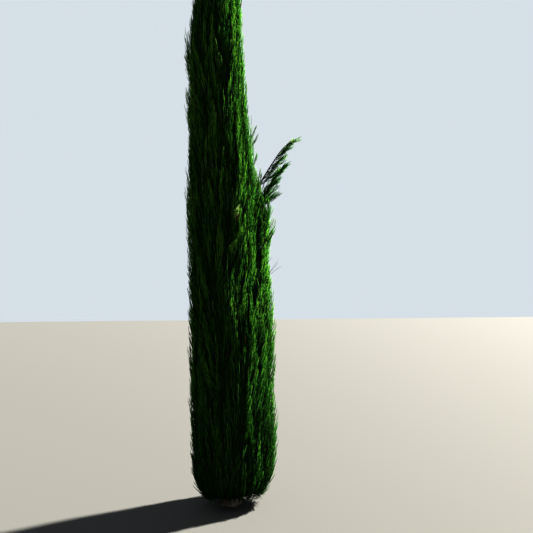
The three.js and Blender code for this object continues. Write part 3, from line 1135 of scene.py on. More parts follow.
@dataclass
class SprayRule:
    """How sprays stand on a shoot, and how their tones fall.

    Sprays that are turned further than hidden_turn from the shoot's outer side are left out. tilt is in
    degrees, and depth_shade_rise says how much fresher than their shoot the first and the last spray are:
    the first, deep in the crown, is darker as painted shade, and the last is fresher growth at the tip.
    """

    draw: np.random.RandomState
    shapes: int
    per_tuft: int = 8
    first: float = 0.16
    last: float = 0.9
    jitter: float = 0.04
    length: tuple[float, float] = (0.15, 0.10)
    unevenness: tuple[float, float] = (0.8, 1.2)
    tilt: tuple[float, float] = (2.0, 9.0)
    end_tilt: float = 0.25
    facing: float = 0.72
    hidden_turn: float = math.radians(112)
    depth_shade_rise: tuple[float, float] = (-0.7, 0.5)
    tone_spread: float = 0.6
    dry_chance: float = 0.004

    def on_tufts(self, tufts: Tufts, tones: Array) -> SpraySet:
        """Sets sprays round shoots, most of them on the side that faces out.

        Args:
            tufts: the shoots.
            tones: a tone for each shoot.

        Returns:
            The sprays.
        """
        draw, count = self.draw, len(tufts.root)
        size = (count, self.per_tuft)
        steps = np.linspace(0.0, 1.0, self.per_tuft)[None]
        shares = blend((self.first, self.last), steps) + draw.uniform(-self.jitter, self.jitter, size)
        line = [part[:, None, :] for part in (tufts.root, tufts.knee, tufts.tip)]
        at = bend_point(*line, shares[..., None])
        along = bend_way(*line, shares[..., None])
        outward = across(along, self._outward(tufts)[:, None, :])
        turns = GOLDEN_TURN * np.arange(self.per_tuft)[None] + draw.uniform(0, 2 * math.pi, (count, 1))
        turns = ((turns + math.pi) % (2 * math.pi) - math.pi) * self.facing
        away = np.cos(turns)[..., None] * outward + np.sin(turns)[..., None] * np.cross(along, outward)
        tilt = np.radians(draw.uniform(*self.tilt, size))
        tilt[:, -1] *= self.end_tilt
        way = np.cos(tilt)[..., None] * along + np.sin(tilt)[..., None] * away
        length = blend(self.length, steps) * draw.uniform(*self.unevenness, size)
        tone = self._tones(tones[:, None], steps)
        shape = draw.randint(0, self.shapes, size)
        seen = np.abs(turns) < self.hidden_turn
        return SpraySet(at[seen], way[seen], away[seen], length[seen], shape[seen], tone[seen])

    def _tones(self, tones: Array, steps: Array) -> Array:
        """Gives sprays tones near their shoot's, darker at its root as painted shade, fresher towards its
        tip, and here and there a dry one.

        Args:
            tones: a column with a tone for each shoot.
            steps: a row with the share of the way along the shoot for each spray.

        Returns:
            The tones, a row for each shoot.
        """
        size = (len(tones), self.per_tuft)
        spread = self.draw.uniform(-self.tone_spread, self.tone_spread, size)
        # The inner sprays' darker tones are painted shade deep in the crown.
        rise = np.round(blend(self.depth_shade_rise, steps) + spread).astype(int)
        tone = np.clip(tones + rise, Tone.DEEP.value, Tone.TIP.value)
        tone = np.where(tones > Tone.TIP.value, tones, tone)
        return np.where(self.draw.uniform(size=size) < self.dry_chance, Tone.DRY.value, tone)

    @staticmethod
    def _outward(tufts: Tufts) -> Array:
        """Gives the direction in which each shoot's bend points."""
        return unit((tufts.knee - tufts.root) * np.array([1.0, 1.0, 0.0]))


# Pieces


def dress(piece: bpy.types.Object, slot: str, *nodes: str) -> None:
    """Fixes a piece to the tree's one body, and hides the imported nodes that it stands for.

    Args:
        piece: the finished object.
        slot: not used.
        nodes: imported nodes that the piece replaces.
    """
    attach(piece, "root")
    if nodes:
        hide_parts(*nodes)
    LOG.info("%s: %d faces", piece.name, len(piece.data.polygons))


def deselect_all() -> None:
    """Leaves nothing selected."""
    bpy.ops.object.select_all(action="DESELECT")


def add_post(name: str, sides: int, radius: float, foot: float, top: float) -> bpy.types.Object:
    """Adds an upright round post on the Z axis.

    Args:
        name: the object's name.
        sides: how many sides it has.
        radius: its radius.
        foot: height of its foot.
        top: height of its top.

    Returns:
        The post.
    """
    deselect_all()
    depth = top - foot
    bpy.ops.mesh.primitive_cylinder_add(
        vertices=sides, radius=radius, depth=depth, location=(0, 0, foot + depth / 2)
    )
    bpy.ops.object.transform_apply(location=True, rotation=True, scale=True)
    post = bpy.context.object
    post.name = post.data.name = name
    return post


def choose_from_none(kind: str) -> None:
    """Deselects all parts of the active mesh, which the caller then selects in code.

    Args:
        kind: FACE or EDGE, the parts to be selected.
    """
    bpy.ops.object.mode_set(mode="EDIT")
    bpy.ops.mesh.select_mode(type=kind)
    bpy.ops.mesh.select_all(action="DESELECT")
    bpy.ops.object.mode_set(mode="OBJECT")


def finish_skin(
    piece: bpy.types.Object, mover: Callable[[Array], Array], material: bpy.types.Material
) -> None:
    """Presses a mesh into its shape and gives it its finish.

    Args:
        piece: the mesh object, which is the active one.
        mover: takes the corners and gives their new places.
        material: the finish.
    """
    move_points(piece, mover)
    bpy.ops.object.shade_smooth()
    piece.data.materials.append(material)


def move_points(piece: bpy.types.Object, mover: Callable[[Array], Array]) -> None:
    """Moves a mesh's corners.

    Args:
        piece: the mesh object.
        mover: takes the corners and gives their new places.
    """
    points = np.empty(len(piece.data.vertices) * 3, np.float32)
    piece.data.vertices.foreach_get("co", points)
    moved = mover(points.reshape(-1, 3).astype(float))
    piece.data.vertices.foreach_set("co", moved.astype(np.float32).ravel())
    piece.data.update()


@dataclass
class Trunk:
    """The trunk, with its lean, taper, root flare and furrowed bark."""

    crown: Crown
    finish: BarkFinish
    radius: float = 0.074
    tip_height: float = 6.56
    tip_radius: float = 0.006
    taper: float = 0.9
    flare_height: float = 0.3
    flare_share: float = 0.6
    flare_lobes: int = 5
    lobe_share: float = 0.16
    sides: int = 60
    rings: int = 90
    crowding: float = 1.5
    furrows: int = 11
    furrow_depth: float = 0.05
    furrow_drift: tuple[Wave, ...] = (Wave(1.4, (2.1,)), Wave(0.7, (5.3,), 1.0))
    crack_drift: float = -2.2
    crack_wave: Wave = Wave(0.8, (9.0,))
    crack_share: float = 0.35

    def radius_at(self, z: Array, bearing: Array) -> Array:
        """Gives the trunk's radius before its bark relief.

        Args:
            z: heights.
            bearing: bearings round the trunk.

        Returns:
            The radius at each place.
        """
        share = np.clip(z / self.tip_height, 0.0, 1.0)
        plain = self.tip_radius + (self.radius - self.tip_radius) * (1 - share) ** self.taper
        low = np.clip(1 - z / self.flare_height, 0.0, 1.0) ** 2
        lobes = self.lobe_share * np.cos(self.flare_lobes * bearing)
        return plain * (1 + low * (self.flare_share + lobes))

    def relief(self, z: Array, bearing: Array) -> Array:
        """Gives the bark's long furrows, with fine cracks between them.

        Args:
            z: heights.
            bearing: bearings round the trunk.

        Returns:
            The relief at each place as a share of the radius, 0 or below.
        """
        drift = swell(self.furrow_drift, z)
        wide = np.abs(np.sin(self.furrows / 2 * bearing + drift)) ** 0.5
        crack_turn = self.furrows * 1.5 * bearing + self.crack_drift * drift + self.crack_wave.at(z)
        fine = np.abs(np.sin(crack_turn)) ** 0.7
        return -self.furrow_depth * (1 - (1 - self.crack_share) * wide - self.crack_share * fine)

    def build(self) -> None:
        """Extrudes the trunk ring by ring, then presses the flare and the bark's relief into it."""
        heights = self.tip_height * (np.arange(self.rings + 1) / self.rings) ** self.crowding
        piece = add_post("trunk_bark", self.sides, self.radius, 0.0, heights[1])
        choose_from_none("FACE")
        highest = max(face.center.z for face in piece.data.polygons)
        for face in piece.data.polygons:
            face.select = face.center.z == highest
        bpy.ops.object.mode_set(mode="EDIT")
        for low, high in zip(heights[1:], heights[2:]):
            bpy.ops.mesh.extrude_region_move(TRANSFORM_OT_translate={"value": (0, 0, float(high - low))})
        bpy.ops.object.mode_set(mode="OBJECT")
        finish_skin(piece, self._shaped, self.finish.material())
        dress(piece, "bark", "trunk")

    def _shaped(self, points: Array) -> Array:
        """Gives the corners of the plain post their places on the trunk.

        Args:
            points: the corners.

        Returns:
            Their new places.
        """
        z = points[:, 2]
        bearing = np.arctan2(points[:, 1], points[:, 0])
        distance = self.radius_at(z, bearing) * (1 + self.relief(z, bearing))
        return self.crown.point(bearing, distance, z)


@dataclass(frozen=True)
class StrayLine:
    """A bough that leans out of the crown, and the stem of the open plume at its end.

    The stem starts at joint and its laterals at leafy_from, both as shares of the line. lengths, bare and
    spread go from the first lateral to the last: its length, the bare share of it, and how far it turns
    round the stem. angle is the least and the most between them, in degrees. The last lateral's shoots
    are fresher than the first one's by tip_fresher tones.
    """

    name: str
    points: tuple[tuple[float, float, float], ...]
    joint: float
    leafy_from: float
    radii: tuple[float, float, float]
    laterals: int
    crowding: float
    lengths: tuple[float, float]
    bare: tuple[float, float]
    spread: tuple[float, float]
    angle: tuple[float, float]
    shoots: int
    sprays: int
    spray_lengths: tuple[float, float]
    tip_fresher: float

    def curve(self, shares: Array) -> Array:
        """Gives points of the smooth line through the knots.

        Args:
            shares: shares of the line's length.

        Returns:
            The points.
        """
        knots = np.array(self.points)
        padded = np.concatenate([2 * knots[:1] - knots[1:2], knots, 2 * knots[-1:] - knots[-2:-1]])
        pieces = []
        for i in range(len(knots) - 1):
            a, b, c, d = padded[i : i + 4]
            t = np.linspace(0, 1, 24, endpoint=i == len(knots) - 2)[:, None]
            straight = 2 * b + (c - a) * t
            square = (2 * a - 5 * b + 4 * c - d) * t**2
            cube = (3 * b - a - 3 * c + d) * t**3
            pieces.append(0.5 * (straight + square + cube))
        line = np.concatenate(pieces)
        run = np.concatenate([[0.0], np.cumsum(np.linalg.norm(np.diff(line, axis=0), axis=1))])
        shares = np.asarray(shares) * run[-1]
        return np.stack([np.interp(shares, run, line[:, i]) for i in range(3)], axis=-1)

    def way(self, shares: Array) -> Array:
        """Gives the line's unit directions.

        Args:
            shares: shares of the line's length.

        Returns:
            The directions.
        """
        step = 0.01
        ahead = self.curve(np.minimum(shares + step, 1.0))
        return unit(ahead - self.curve(np.maximum(shares - step, 0.0)))


# The shoots on a lateral are turned round it from this direction.
SHOOT_SIDE = np.array([0.1, 1.0, 0.2])

STRAYS = (
    StrayLine(
        name="upper",
        points=(
            (-0.040, 0.000, 2.570),
            (0.090, 0.070, 2.980),
            (0.309, 0.150, 3.428),
            (0.440, 0.185, 3.664),
            (0.588, 0.215, 3.893),
            (0.700, 0.230, 4.000),
        ),
        joint=0.6,
        leafy_from=0.59,
        radii=(0.017, 0.0085, 0.0015),
        laterals=40,
        crowding=1.1,
        lengths=(0.21, 0.1),
        bare=(0.5, 0.15),
        spread=angles(40, 80),
        angle=(18.0, 42.0),
        shoots=4,
        sprays=5,
        spray_lengths=(0.072, 0.03),
        tip_fresher=2.0,
    ),
    StrayLine(
        name="lower",
        points=(
            (-0.038, -0.004, 2.380),
            (0.095, 0.050, 2.830),
            (0.325, 0.140, 3.235),
            (0.405, 0.160, 3.377),
            (0.500, 0.175, 3.575),
            (0.600, 0.180, 3.680),
        ),
        joint=0.62,
        leafy_from=0.6,
        radii=(0.016, 0.009, 0.0012),
        laterals=56,
        crowding=1.8,
        lengths=(0.2, 0.04),
        bare=(0.1, 0.1),
        spread=angles(120, 60),
        angle=(14.0, 40.0),
        shoots=4,
        sprays=5,
        spray_lengths=(0.09, 0.04),
        tip_fresher=0.7,
    ),
)


@dataclass
class StrayBough:
    """One thin bough with its bark, its open plume's stem, twigs and sprays."""

    line: StrayLine
    finish: BarkFinish
    draw: np.random.RandomState
    sides: int = 12
    steps: int = 14
    furrows: tuple[Wave, ...] = (Wave(0.06, (5.0, 40.0)), Wave(0.05, (2.0, 23.0)))
    last_lateral: float = 0.99
    lateral_spread: tuple[float, float] = (0.55, 1.15)
    lateral_upturn: float = 0.06
    shoot_share: float = 0.4
    shoot_spread: tuple[float, float] = (0.7, 1.2)
    shoot_tilt: tuple[float, float] = (8.0, 22.0)
    shoot_upturn: float = 0.12
    end_tilt: float = 3.0
    tones: tuple[Tone, ...] = (Tone.DEEP, Tone.DEEP, Tone.SHADE, Tone.SHADE, Tone.MID, Tone.FRESH)

    def limb(self, name: str, start: float, end: float, radii: tuple[float, float]) -> bpy.types.Object:
        """Draws a curve, gives it its thickness and makes a mesh of it with bark relief.

        Args:
            name: the object's name.
            start: share of the line where the limb starts.
            end: share of the line where it ends.
            radii: radius at the start and at the end.

        Returns:
            The limb.
        """
        deselect_all()
        shares = np.linspace(start, end, self.steps + 1)
        places = self.line.curve(shares)
        bpy.ops.curve.primitive_nurbs_path_add(location=(0, 0, 0))
        path = bpy.context.object
        path.name = name
        path.data.splines.clear()
        spline = path.data.splines.new("NURBS")
        spline.points.add(self.steps)
        spline.use_endpoint_u = True
        spline.order_u = 3
        for point, place, share in zip(spline.points, places, np.linspace(0, 1, self.steps + 1)):
            point.co = (*place, 1.0)
            point.radius = blend(radii, share)
        path.data.resolution_u = 4
        path.data.bevel_depth = 1.0
        path.data.bevel_resolution = self.sides // 4 - 1
        path.data.use_fill_caps = True
        bpy.ops.object.convert(target="MESH")
        piece = bpy.context.object
        piece.name = piece.data.name = name
        bpy.ops.object.mode_set(mode="EDIT")
        bpy.ops.mesh.select_all(action="SELECT")
        bpy.ops.mesh.remove_doubles(threshold=1e-5)
        bpy.ops.mesh.subdivide(number_cuts=1)
        bpy.ops.mesh.normals_make_consistent(inside=False)
        bpy.ops.object.mode_set(mode="OBJECT")
        finish_skin(piece, self._furrowed, self.finish.material())
        return piece

    def _furrowed(self, points: Array) -> Array:
        """Presses shallow furrows and knots in a limb's skin.

        Args:
            points: the skin's corners.

        Returns:
            Their new places.
        """
        line = self.line.curve(np.linspace(0.0, 1.0, 200))
        nearest = np.argmin(((points[:, None] - line[None]) ** 2).sum(-1), axis=1)
        middle = line[nearest]
        out = points - middle
        relief = swell(self.furrows, np.arctan2(out[:, 1], out[:, 0]), points[:, 2])
        return middle + out * (1 + relief[:, None])

    def laterals(self) -> Tufts:
        """Grows the laterals, which carry the open plume's shoots.

        Returns:
            The laterals.
        """
        line, draw = self.line, self.draw
        steps = np.linspace(0.0, 1.0, line.laterals) ** line.crowding
        on_line = blend((line.leafy_from, self.last_lateral), steps)
        foot = line.curve(on_line)
        along = line.way(on_line)
        length = blend(line.lengths, steps) * draw.uniform(*self.lateral_spread, line.laterals)
        length = length[:, None]
        below = across(along, np.stack([along[:, 2], np.zeros(line.laterals), -along[:, 0]], axis=1))
        turn = (draw.uniform(-1.0, 1.0, line.laterals) * blend(line.spread, steps))[:, None]
        away = np.cos(turn) * below + np.sin(turn) * np.cross(along, below)
        angle = np.radians(draw.uniform(*line.angle, line.laterals))[:, None]
        way = np.cos(angle) * along + np.sin(angle) * away
        upturn = np.array([0.0, 0.0, self.lateral_upturn]) * length
        return Tufts(root=foot, knee=foot + way * length / 2, tip=foot + way * length + upturn)

    def shoots(self, laterals: Tufts) -> Tufts:
        """Grows the shoots on the laterals.

        Args:
            laterals: the laterals.

        Returns:
            The shoots.
        """
        line, draw, count = self.line, self.draw, len(laterals.root)
        bare = np.linspace(*line.bare, count)[:, None]
        shares = (bare + (1 - bare) * np.linspace(0.0, 1.0, line.shoots)[None])[..., None]
        curve = [part[:, None, :] for part in (laterals.root, laterals.knee, laterals.tip)]
        at = bend_point(*curve, shares).reshape(-1, 3)
        along = bend_way(*curve, shares).reshape(-1, 3)
        turn = draw.uniform(0, 2 * math.pi, len(at))[:, None]
        side = across(along, SHOOT_SIDE)
        away = np.cos(turn) * side + np.sin(turn) * np.cross(along, side)
        end = np.tile(np.arange(line.shoots) == line.shoots - 1, count)[:, None]
        tilt = np.radians(np.where(end, self.end_tilt, draw.uniform(*self.shoot_tilt, (len(at), 1))))
        way = np.cos(tilt) * along + np.sin(tilt) * away
        length = 2 * np.linalg.norm(laterals.knee - laterals.root, axis=1)[:, None]
        reach = self.shoot_share * np.repeat(length, line.shoots, axis=0)
        reach = reach * draw.uniform(*self.shoot_spread, (len(at), 1))
        tip = at + way * reach + np.array([0.0, 0.0, self.shoot_upturn]) * reach
        return Tufts(root=at, knee=at + way * reach / 2, tip=tip)

    def sprays(self, shoots: Tufts, shapes: int) -> SpraySet:
        """Sets sprays all round the shoots.

        Args:
            shoots: the shoots.
            shapes: how many spray shapes there are.

        Returns:
            The sprays.
        """
        line = self.line
        rule = SprayRule(
            self.draw,
            shapes,
            per_tuft=line.sprays,
            first=0.1,
            last=0.95,
            length=line.spray_lengths,
            facing=1.0,
            hidden_turn=math.pi,
        )
        share = np.repeat(np.linspace(0.0, 1.0, line.laterals), line.shoots)
        fresher = np.round(line.tip_fresher * share).astype(int)
        tones = self.draw.choice([tone.value for tone in self.tones], len(shoots.root)) + fresher
        return rule.on_tufts(shoots, tones)


@dataclass
class InnerFoliage:
    """The dense dark inside of the crown, which the sprays stand out of."""

    crown: Crown
    flames: Flames
    finish: ShadedInnerFinish
    share: float = 0.875
    foot: float = 0.09
    top: float = 7.19
    sides: int = 96
    rings: int = 150
    ridges: int = 24
    ridge_depth: float = 0.03
    ridge_share: float = 0.5
    ridge_drift: tuple[Wave, ...] = (Wave(1.3, (3.1,)), Wave(0.6, (11.0,)))
    knot_depth: float = 0.02
    knots: tuple[Wave, Wave] = (Wave(1.0, (9.0, 17.0)), Wave(1.0, (5.0, -23.0)))
    rounding: float = 0.45
    rounding_height: float = 0.12

    def build(self) -> None:
        """Subdivides a tall post and shapes it to the crown, ridged like the plumes' cores."""
        piece = add_post("inner_foliage", self.sides, 1.0, self.foot, self.top)
        choose_from_none("EDGE")
        corners = piece.data.vertices
        for edge in piece.data.edges:
            low, high = (corners[v].co.z for v in edge.vertices)
            edge.select = abs(low - high) > (self.top - self.foot) / 2
        bpy.ops.object.mode_set(mode="EDIT")
        bpy.ops.mesh.subdivide(number_cuts=self.rings)
        bpy.ops.object.mode_set(mode="OBJECT")
        finish_skin(piece, self._shaped, self.finish.material())
        dress(piece, "foliage")

    def _shaped(self, points: Array) -> Array:
        """Gives the corners of the plain post their places inside the crown.

        Args:
            points: the corners.

        Returns:
            Their new places.
        """
        z = points[:, 2]
        bearing = np.arctan2(points[:, 1], points[:, 0])
        ridge = np.cos(self.ridges * bearing + swell(self.ridge_drift, z))
        knot = self.knots[0].at(bearing, z) * self.knots[1].at(bearing, z)
        _, level = self.flames.at(bearing, z)
        relief = self.ridge_depth * (self.ridge_share * ridge + level) + self.knot_depth * knot
        low = np.clip(1 - (z - self.foot) / self.rounding_height, 0.0, 1.0)
        distance = self.crown.reach(bearing, z) * (self.share + relief) * (1 - self.rounding * low**2)
        return self.crown.point(bearing, distance, z)


@dataclass
class Foliage:
    """Every plume of the crown: stems, twigs, shoots and sprays, gathered by tier."""

    crown: Crown
    rule: PlumeRule
    draw: np.random.RandomState
    shapes: Sequence[SprayShape]
    leaves: Sequence[bpy.types.Material]
    twig: bpy.types.Material
    stem_radii: tuple[float, float] = (0.015, 0.005)
    twig_radii: tuple[float, float] = (0.0045, 0.003)
    shoot_radii: tuple[float, float] = (0.0032, 0.0014)
    mean_tone: float = 1.4
    mean_share: float = 0.93
    # Shoots set back in the hollows get darker greens: painted shade, with older inner foliage.
    depth_shade_gain: float = 16.0
    tone_spread: float = 0.5
    patch_gain: float = 0.2
    patches: tuple[Wave, ...] = (
        Wave(1.0, (7.0, 0.0, 2.3)),
        Wave(1.0, (0.0, 9.0, -1.7), 1.0),
        Wave(0.8, (15.0, 15.0, 3.1)),
    )
    # Darker greens towards the ground: painted shade, with older foliage there.
    low_shade: float = -1.1
    low_height: float = 2.4
    twigs: Bundle = field(default_factory=Bundle)

    def tones(self, tufts: PlumeTufts) -> Array:
        """Gives each shoot a tone: fresher where it stands out, darker where it sits back and near the
        ground, in patches. The darker greens are painted shade as well as older foliage.

        Args:
            tufts: a plume's shoots.

        Returns:
            The number of a tone for each shoot.
        """
        x, y, z = tufts.tip.T
        # Painted shade: the further back a shoot sits, the darker its green.
        level = self.mean_tone + self.depth_shade_gain * (tufts.share - self.mean_share)
        level = level + self.patch_gain * swell(self.patches, x, y, z)
        # Painted shade: darker towards the ground.
        level = level + self.low_shade * np.clip(1 - z / self.low_height, 0.0, 1.0)
        level = level + self.draw.normal(0, self.tone_spread, len(z))
        return np.clip(np.round(level), Tone.DEEP.value, Tone.FRESH.value).astype(int)

    def build_tier(self, tier: int) -> None:
        """Grows one tier's plumes and joins their sprays in one piece.

        Args:
            tier: the tier, counted from 0, or the number of tiers for the leader.
        """
        leader = self.crown.is_leader(tier)
        count = 1 if leader else self.crown.tier_plumes[tier]
        sprays = Bundle()
        rule = SprayRule(self.draw, len(self.shapes))
        for index in range(count):
            tufts = self.rule.tufts(tier, index)
            rule.on_tufts(tufts, self.tones(tufts)).fill(sprays, self.shapes)
            foot, tip = self.rule.stem_line(tier, index)
            middle = (tufts.stem + tufts.root) / 2
            self.twigs.add(*rods(foot[None], (foot + tip)[None] / 2, tip[None], self.stem_radii, steps=2))
            self.twigs.add(*rods(tufts.stem, middle, tufts.root, self.twig_radii, steps=1))
            self.twigs.add(*tufts.wood(self.shoot_radii, steps=2))
        name = "leader" if leader else f"tier_{tier + 1}"
        nodes = ["leader_plume"] if leader else [f"{name}_plume_{i + 1}" for i in range(count)]
        dress(sprays.mesh(f"{name}_sprays", self.leaves), "foliage", *nodes)

    def build(self) -> None:
        """Grows the whole crown."""
        for tier in range(len(self.crown.tier_tops) + 1):
            self.build_tier(tier)
        dress(self.twigs.mesh("crown_twigs", [self.twig]), "bark")


@dataclass(frozen=True)
class Wisp:
    """One shoot that stands off from the crown, by bearing in degrees and heights and distance in metres.

    off says how far its tip stands outside the crown's reach. A bare shoot has no tone.
    """

    bearing: float
    foot: float
    top: float
    off: float
    tone: Tone | None


WISPS = (
    # High on the right
    Wisp(-6.0, 3.925, 4.110, 0.060, Tone.SHADE),
    Wisp(-3.0, 3.860, 4.015, 0.060, Tone.SHADE),
    Wisp(-9.0, 3.655, 3.770, 0.020, Tone.MID),
    # The upright tuft over the side plume
    Wisp(-7.0, 3.370, 3.600, 0.040, Tone.SHADE),
    Wisp(-9.0, 3.330, 3.560, 0.050, Tone.DEEP),
    Wisp(-2.0, 3.295, 3.440, 0.015, Tone.MID),
    # The side plume's edge
    Wisp(-8.0, 2.895, 3.180, 0.041, Tone.MID),
    Wisp(-4.0, 2.966, 3.265, 0.037, Tone.MID),
    Wisp(2.0, 3.020, 3.335, 0.033, Tone.SHADE),
    Wisp(6.0, 3.090, 3.365, 0.044, Tone.SHADE),
    # The side plume's low tip
    Wisp(-5.0, 2.740, 2.975, 0.042, Tone.MID),
    Wisp(-9.0, 2.730, 2.930, 0.045, Tone.FRESH),
    Wisp(-2.0, 2.720, 2.940, 0.034, Tone.SHADE),
    Wisp(-7.0, 2.700, 2.900, 0.036, Tone.MID),
    Wisp(-6.0, 2.725, 2.955, 0.040, Tone.MID),
    Wisp(-3.5, 2.705, 2.915, 0.032, Tone.SHADE),
    # Bare twigs under the side plume
    Wisp(-12.0, 2.440, 2.600, 0.150, None),
    Wisp(-6.0, 2.465, 2.525, 0.150, None),
    Wisp(-10.0, 2.450, 2.560, 0.125, None),
    Wisp(-16.0, 2.540, 2.620, 0.105, None),
    # Pale tufts near the middle: their pale and tip greens are painted highlights of sunlit shoots on the
    # shaded side
    Wisp(-65.0, 3.035, 3.125, 0.028, Tone.PALE_HIGHLIGHT),
    Wisp(-68.5, 3.020, 3.105, 0.032, Tone.PALE_HIGHLIGHT),
    Wisp(-62.5, 3.010, 3.090, 0.028, Tone.TIP),
    Wisp(-71.0, 3.000, 3.075, 0.028, Tone.TIP),
    Wisp(-67.0, 2.980, 3.040, 0.032, Tone.DRY),
    Wisp(-64.0, 2.810, 2.885, 0.030, Tone.TIP),
    Wisp(-77.0, 2.640, 2.720, 0.030, Tone.TIP),
    Wisp(-79.5, 2.655, 2.715, 0.028, Tone.FRESH),
    Wisp(-72.0, 2.715, 2.775, 0.032, Tone.TIP),
    # Fresh shoots on the lit middle: their fresher greens are painted light where the key light falls
    Wisp(-44.0, 3.200, 3.360, 0.020, Tone.MID),
    Wisp(-52.0, 3.120, 3.270, 0.020, Tone.FRESH),
    Wisp(-58.0, 3.220, 3.360, 0.018, Tone.FRESH),
    Wisp(-38.0, 3.060, 3.200, 0.020, Tone.FRESH),
    Wisp(-48.0, 2.980, 3.130, 0.020, Tone.MID),
    Wisp(-55.0, 2.900, 3.040, 0.020, Tone.FRESH),
    Wisp(-41.0, 2.860, 3.020, 0.020, Tone.MID),
    Wisp(-60.0, 2.760, 2.900, 0.018, Tone.FRESH),
    Wisp(-50.0, 2.720, 2.870, 0.020, Tone.FRESH),
    Wisp(-36.0, 2.700, 2.860, 0.020, Tone.MID),
    Wisp(-44.0, 2.620, 2.780, 0.020, Tone.MID),
    Wisp(-56.0, 2.580, 2.720, 0.018, Tone.FRESH),
)


@dataclass
class Wisps:
    """The shoots that stand off from the crown by themselves."""

    crown: Crown
    shapes: Sequence[SprayShape]
    leaves: Sequence[bpy.types.Material]
    twig: bpy.types.Material
    draw: np.random.RandomState
    inward: float = 0.08
    down: float = 0.10
    tip_room: float = 0.045
    radii: tuple[float, float] = (0.0022, 0.001)

    def build(self) -> None:
        """Grows the shoots, and sprays on those that aren't bare."""
        rows = [(wisp.bearing, wisp.foot, wisp.top, wisp.off) for wisp in WISPS]
        bearing, foot, top, off = np.array(rows).T
        bearing = np.radians(bearing)
        leafy = np.array([wisp.tone is not None for wisp in WISPS])
        end = top - np.where(leafy, self.tip_room, 0.0)
        near = self.crown.reach(bearing, foot)
        far = self.crown.reach(bearing, end) + off
        root = self.crown.point(bearing, near - self.inward, foot - self.down)
        knee = self.crown.point(bearing, (near + far) / 2, (foot + end) / 2)
        tip = self.crown.point(bearing, far, end)
        twigs = Bundle()
        twigs.add(*Tufts(root, knee, tip).wood(self.radii, steps=4))
        dress(twigs.mesh("wisp_twigs", [self.twig]), "bark")
        shoots = Tufts(root[leafy], knee[leafy], tip[leafy])
        tones = np.array([wisp.tone.value for wisp in WISPS if wisp.tone is not None])
        rule = SprayRule(
            self.draw,
            len(self.shapes),
            per_tuft=14,
            first=0.3,
            last=1.0,
            length=(0.1, 0.055),
            hidden_turn=math.pi,
        )
        sprays = Bundle()
        rule.on_tufts(shoots, tones).fill(sprays, self.shapes)
        dress(sprays.mesh("wisp_sprays", self.leaves), "foliage")


@dataclass
class Hem:
    """The lowest shoots, which hang from under the crown's edge and turn up again."""

    crown: Crown
    shapes: Sequence[SprayShape]
    leaves: Sequence[bpy.types.Material]
    twig: bpy.types.Material
    draw: np.random.RandomState
    count: int = 160
    jitter: float = 0.6
    inward: tuple[float, float] = (0.07, 0.14)
    root_height: float = 0.16
    knee_height: tuple[float, float] = (0.03, 0.07)
    knee_inward: tuple[float, float] = (0.015, 0.09)
    rise: tuple[float, float] = (0.08, 0.22)
    tip_inward: tuple[float, float] = (0.05, 0.1)
    radii: tuple[float, float] = (0.0026, 0.001)

    def build(self) -> None:
        """Grows the shoots round the crown's lower edge, and sprays on them."""
        draw, crown, count = self.draw, self.crown, self.count
        turn = 2 * math.pi / count
        bearing = turn * (np.arange(count) + draw.uniform(-self.jitter, self.jitter, count))
        low = draw.uniform(*self.knee_height, count)
        top = low + draw.uniform(*self.rise, count)
        edge = crown.reach(bearing, crown.skirt)
        over_it = crown.reach(bearing, top)
        root = crown.point(bearing, edge - draw.uniform(*self.inward, count), self.root_height)
        knee = crown.point(bearing, edge - draw.uniform(*self.knee_inward, count), low)
        tip = crown.point(bearing, over_it - draw.uniform(*self.tip_inward, count), top)
        shoots = Tufts(root, knee, tip)
        twigs = Bundle()
        twigs.add(*shoots.wood(self.radii, steps=3))
        dress(twigs.mesh("hem_twigs", [self.twig]), "bark")
        # Only the two darkest greens: painted shade under the crown's edge, as with the foliage near the
        # ground.
        tones = draw.choice([Tone.DEEP.value, Tone.SHADE.value], count)
        rule = SprayRule(draw, len(self.shapes), per_tuft=8, first=0.35, last=1.0, length=(0.08, 0.06))
        sprays = Bundle()
        rule.on_tufts(shoots, tones).fill(sprays, self.shapes)
        dress(sprays.mesh("hem_sprays", self.leaves), "foliage")


@dataclass
class Strays:
    """The two thin boughs with their open plumes."""

    shapes: Sequence[SprayShape]
    leaves: Sequence[bpy.types.Material]
    twig: bpy.types.Material
    finish: BarkFinish
    draw: np.random.RandomState
    twig_radii: tuple[float, float] = (0.0038, 0.0022)
    shoot_radii: tuple[float, float] = (0.0022, 0.001)

    def build(self) -> None:
        """Grows both boughs."""
        for line in STRAYS:
            bough = StrayBough(line, self.finish, self.draw)
            limb = bough.limb(f"{line.name}_bough_bark", 0.0, line.joint, line.radii[:2])
            dress(limb, "bark", f"{line.name}_bough")
            dress(bough.limb(f"{line.name}_plume_stem", line.joint, 1.0, line.radii[1:]), "bark")
            laterals = bough.laterals()
            shoots = bough.shoots(laterals)
            twigs = Bundle()
            twigs.add(*laterals.wood(self.twig_radii, steps=3))
            twigs.add(*shoots.wood(self.shoot_radii, steps=2))
            dress(twigs.mesh(f"{line.name}_plume_twigs", [self.twig]), "bark")
            sprays = Bundle()
            bough.sprays(shoots, len(self.shapes)).fill(sprays, self.shapes)
            piece = sprays.mesh(f"{line.name}_plume_sprays", self.leaves)
            dress(piece, "foliage", f"{line.name}_bough_plume")


# Studio


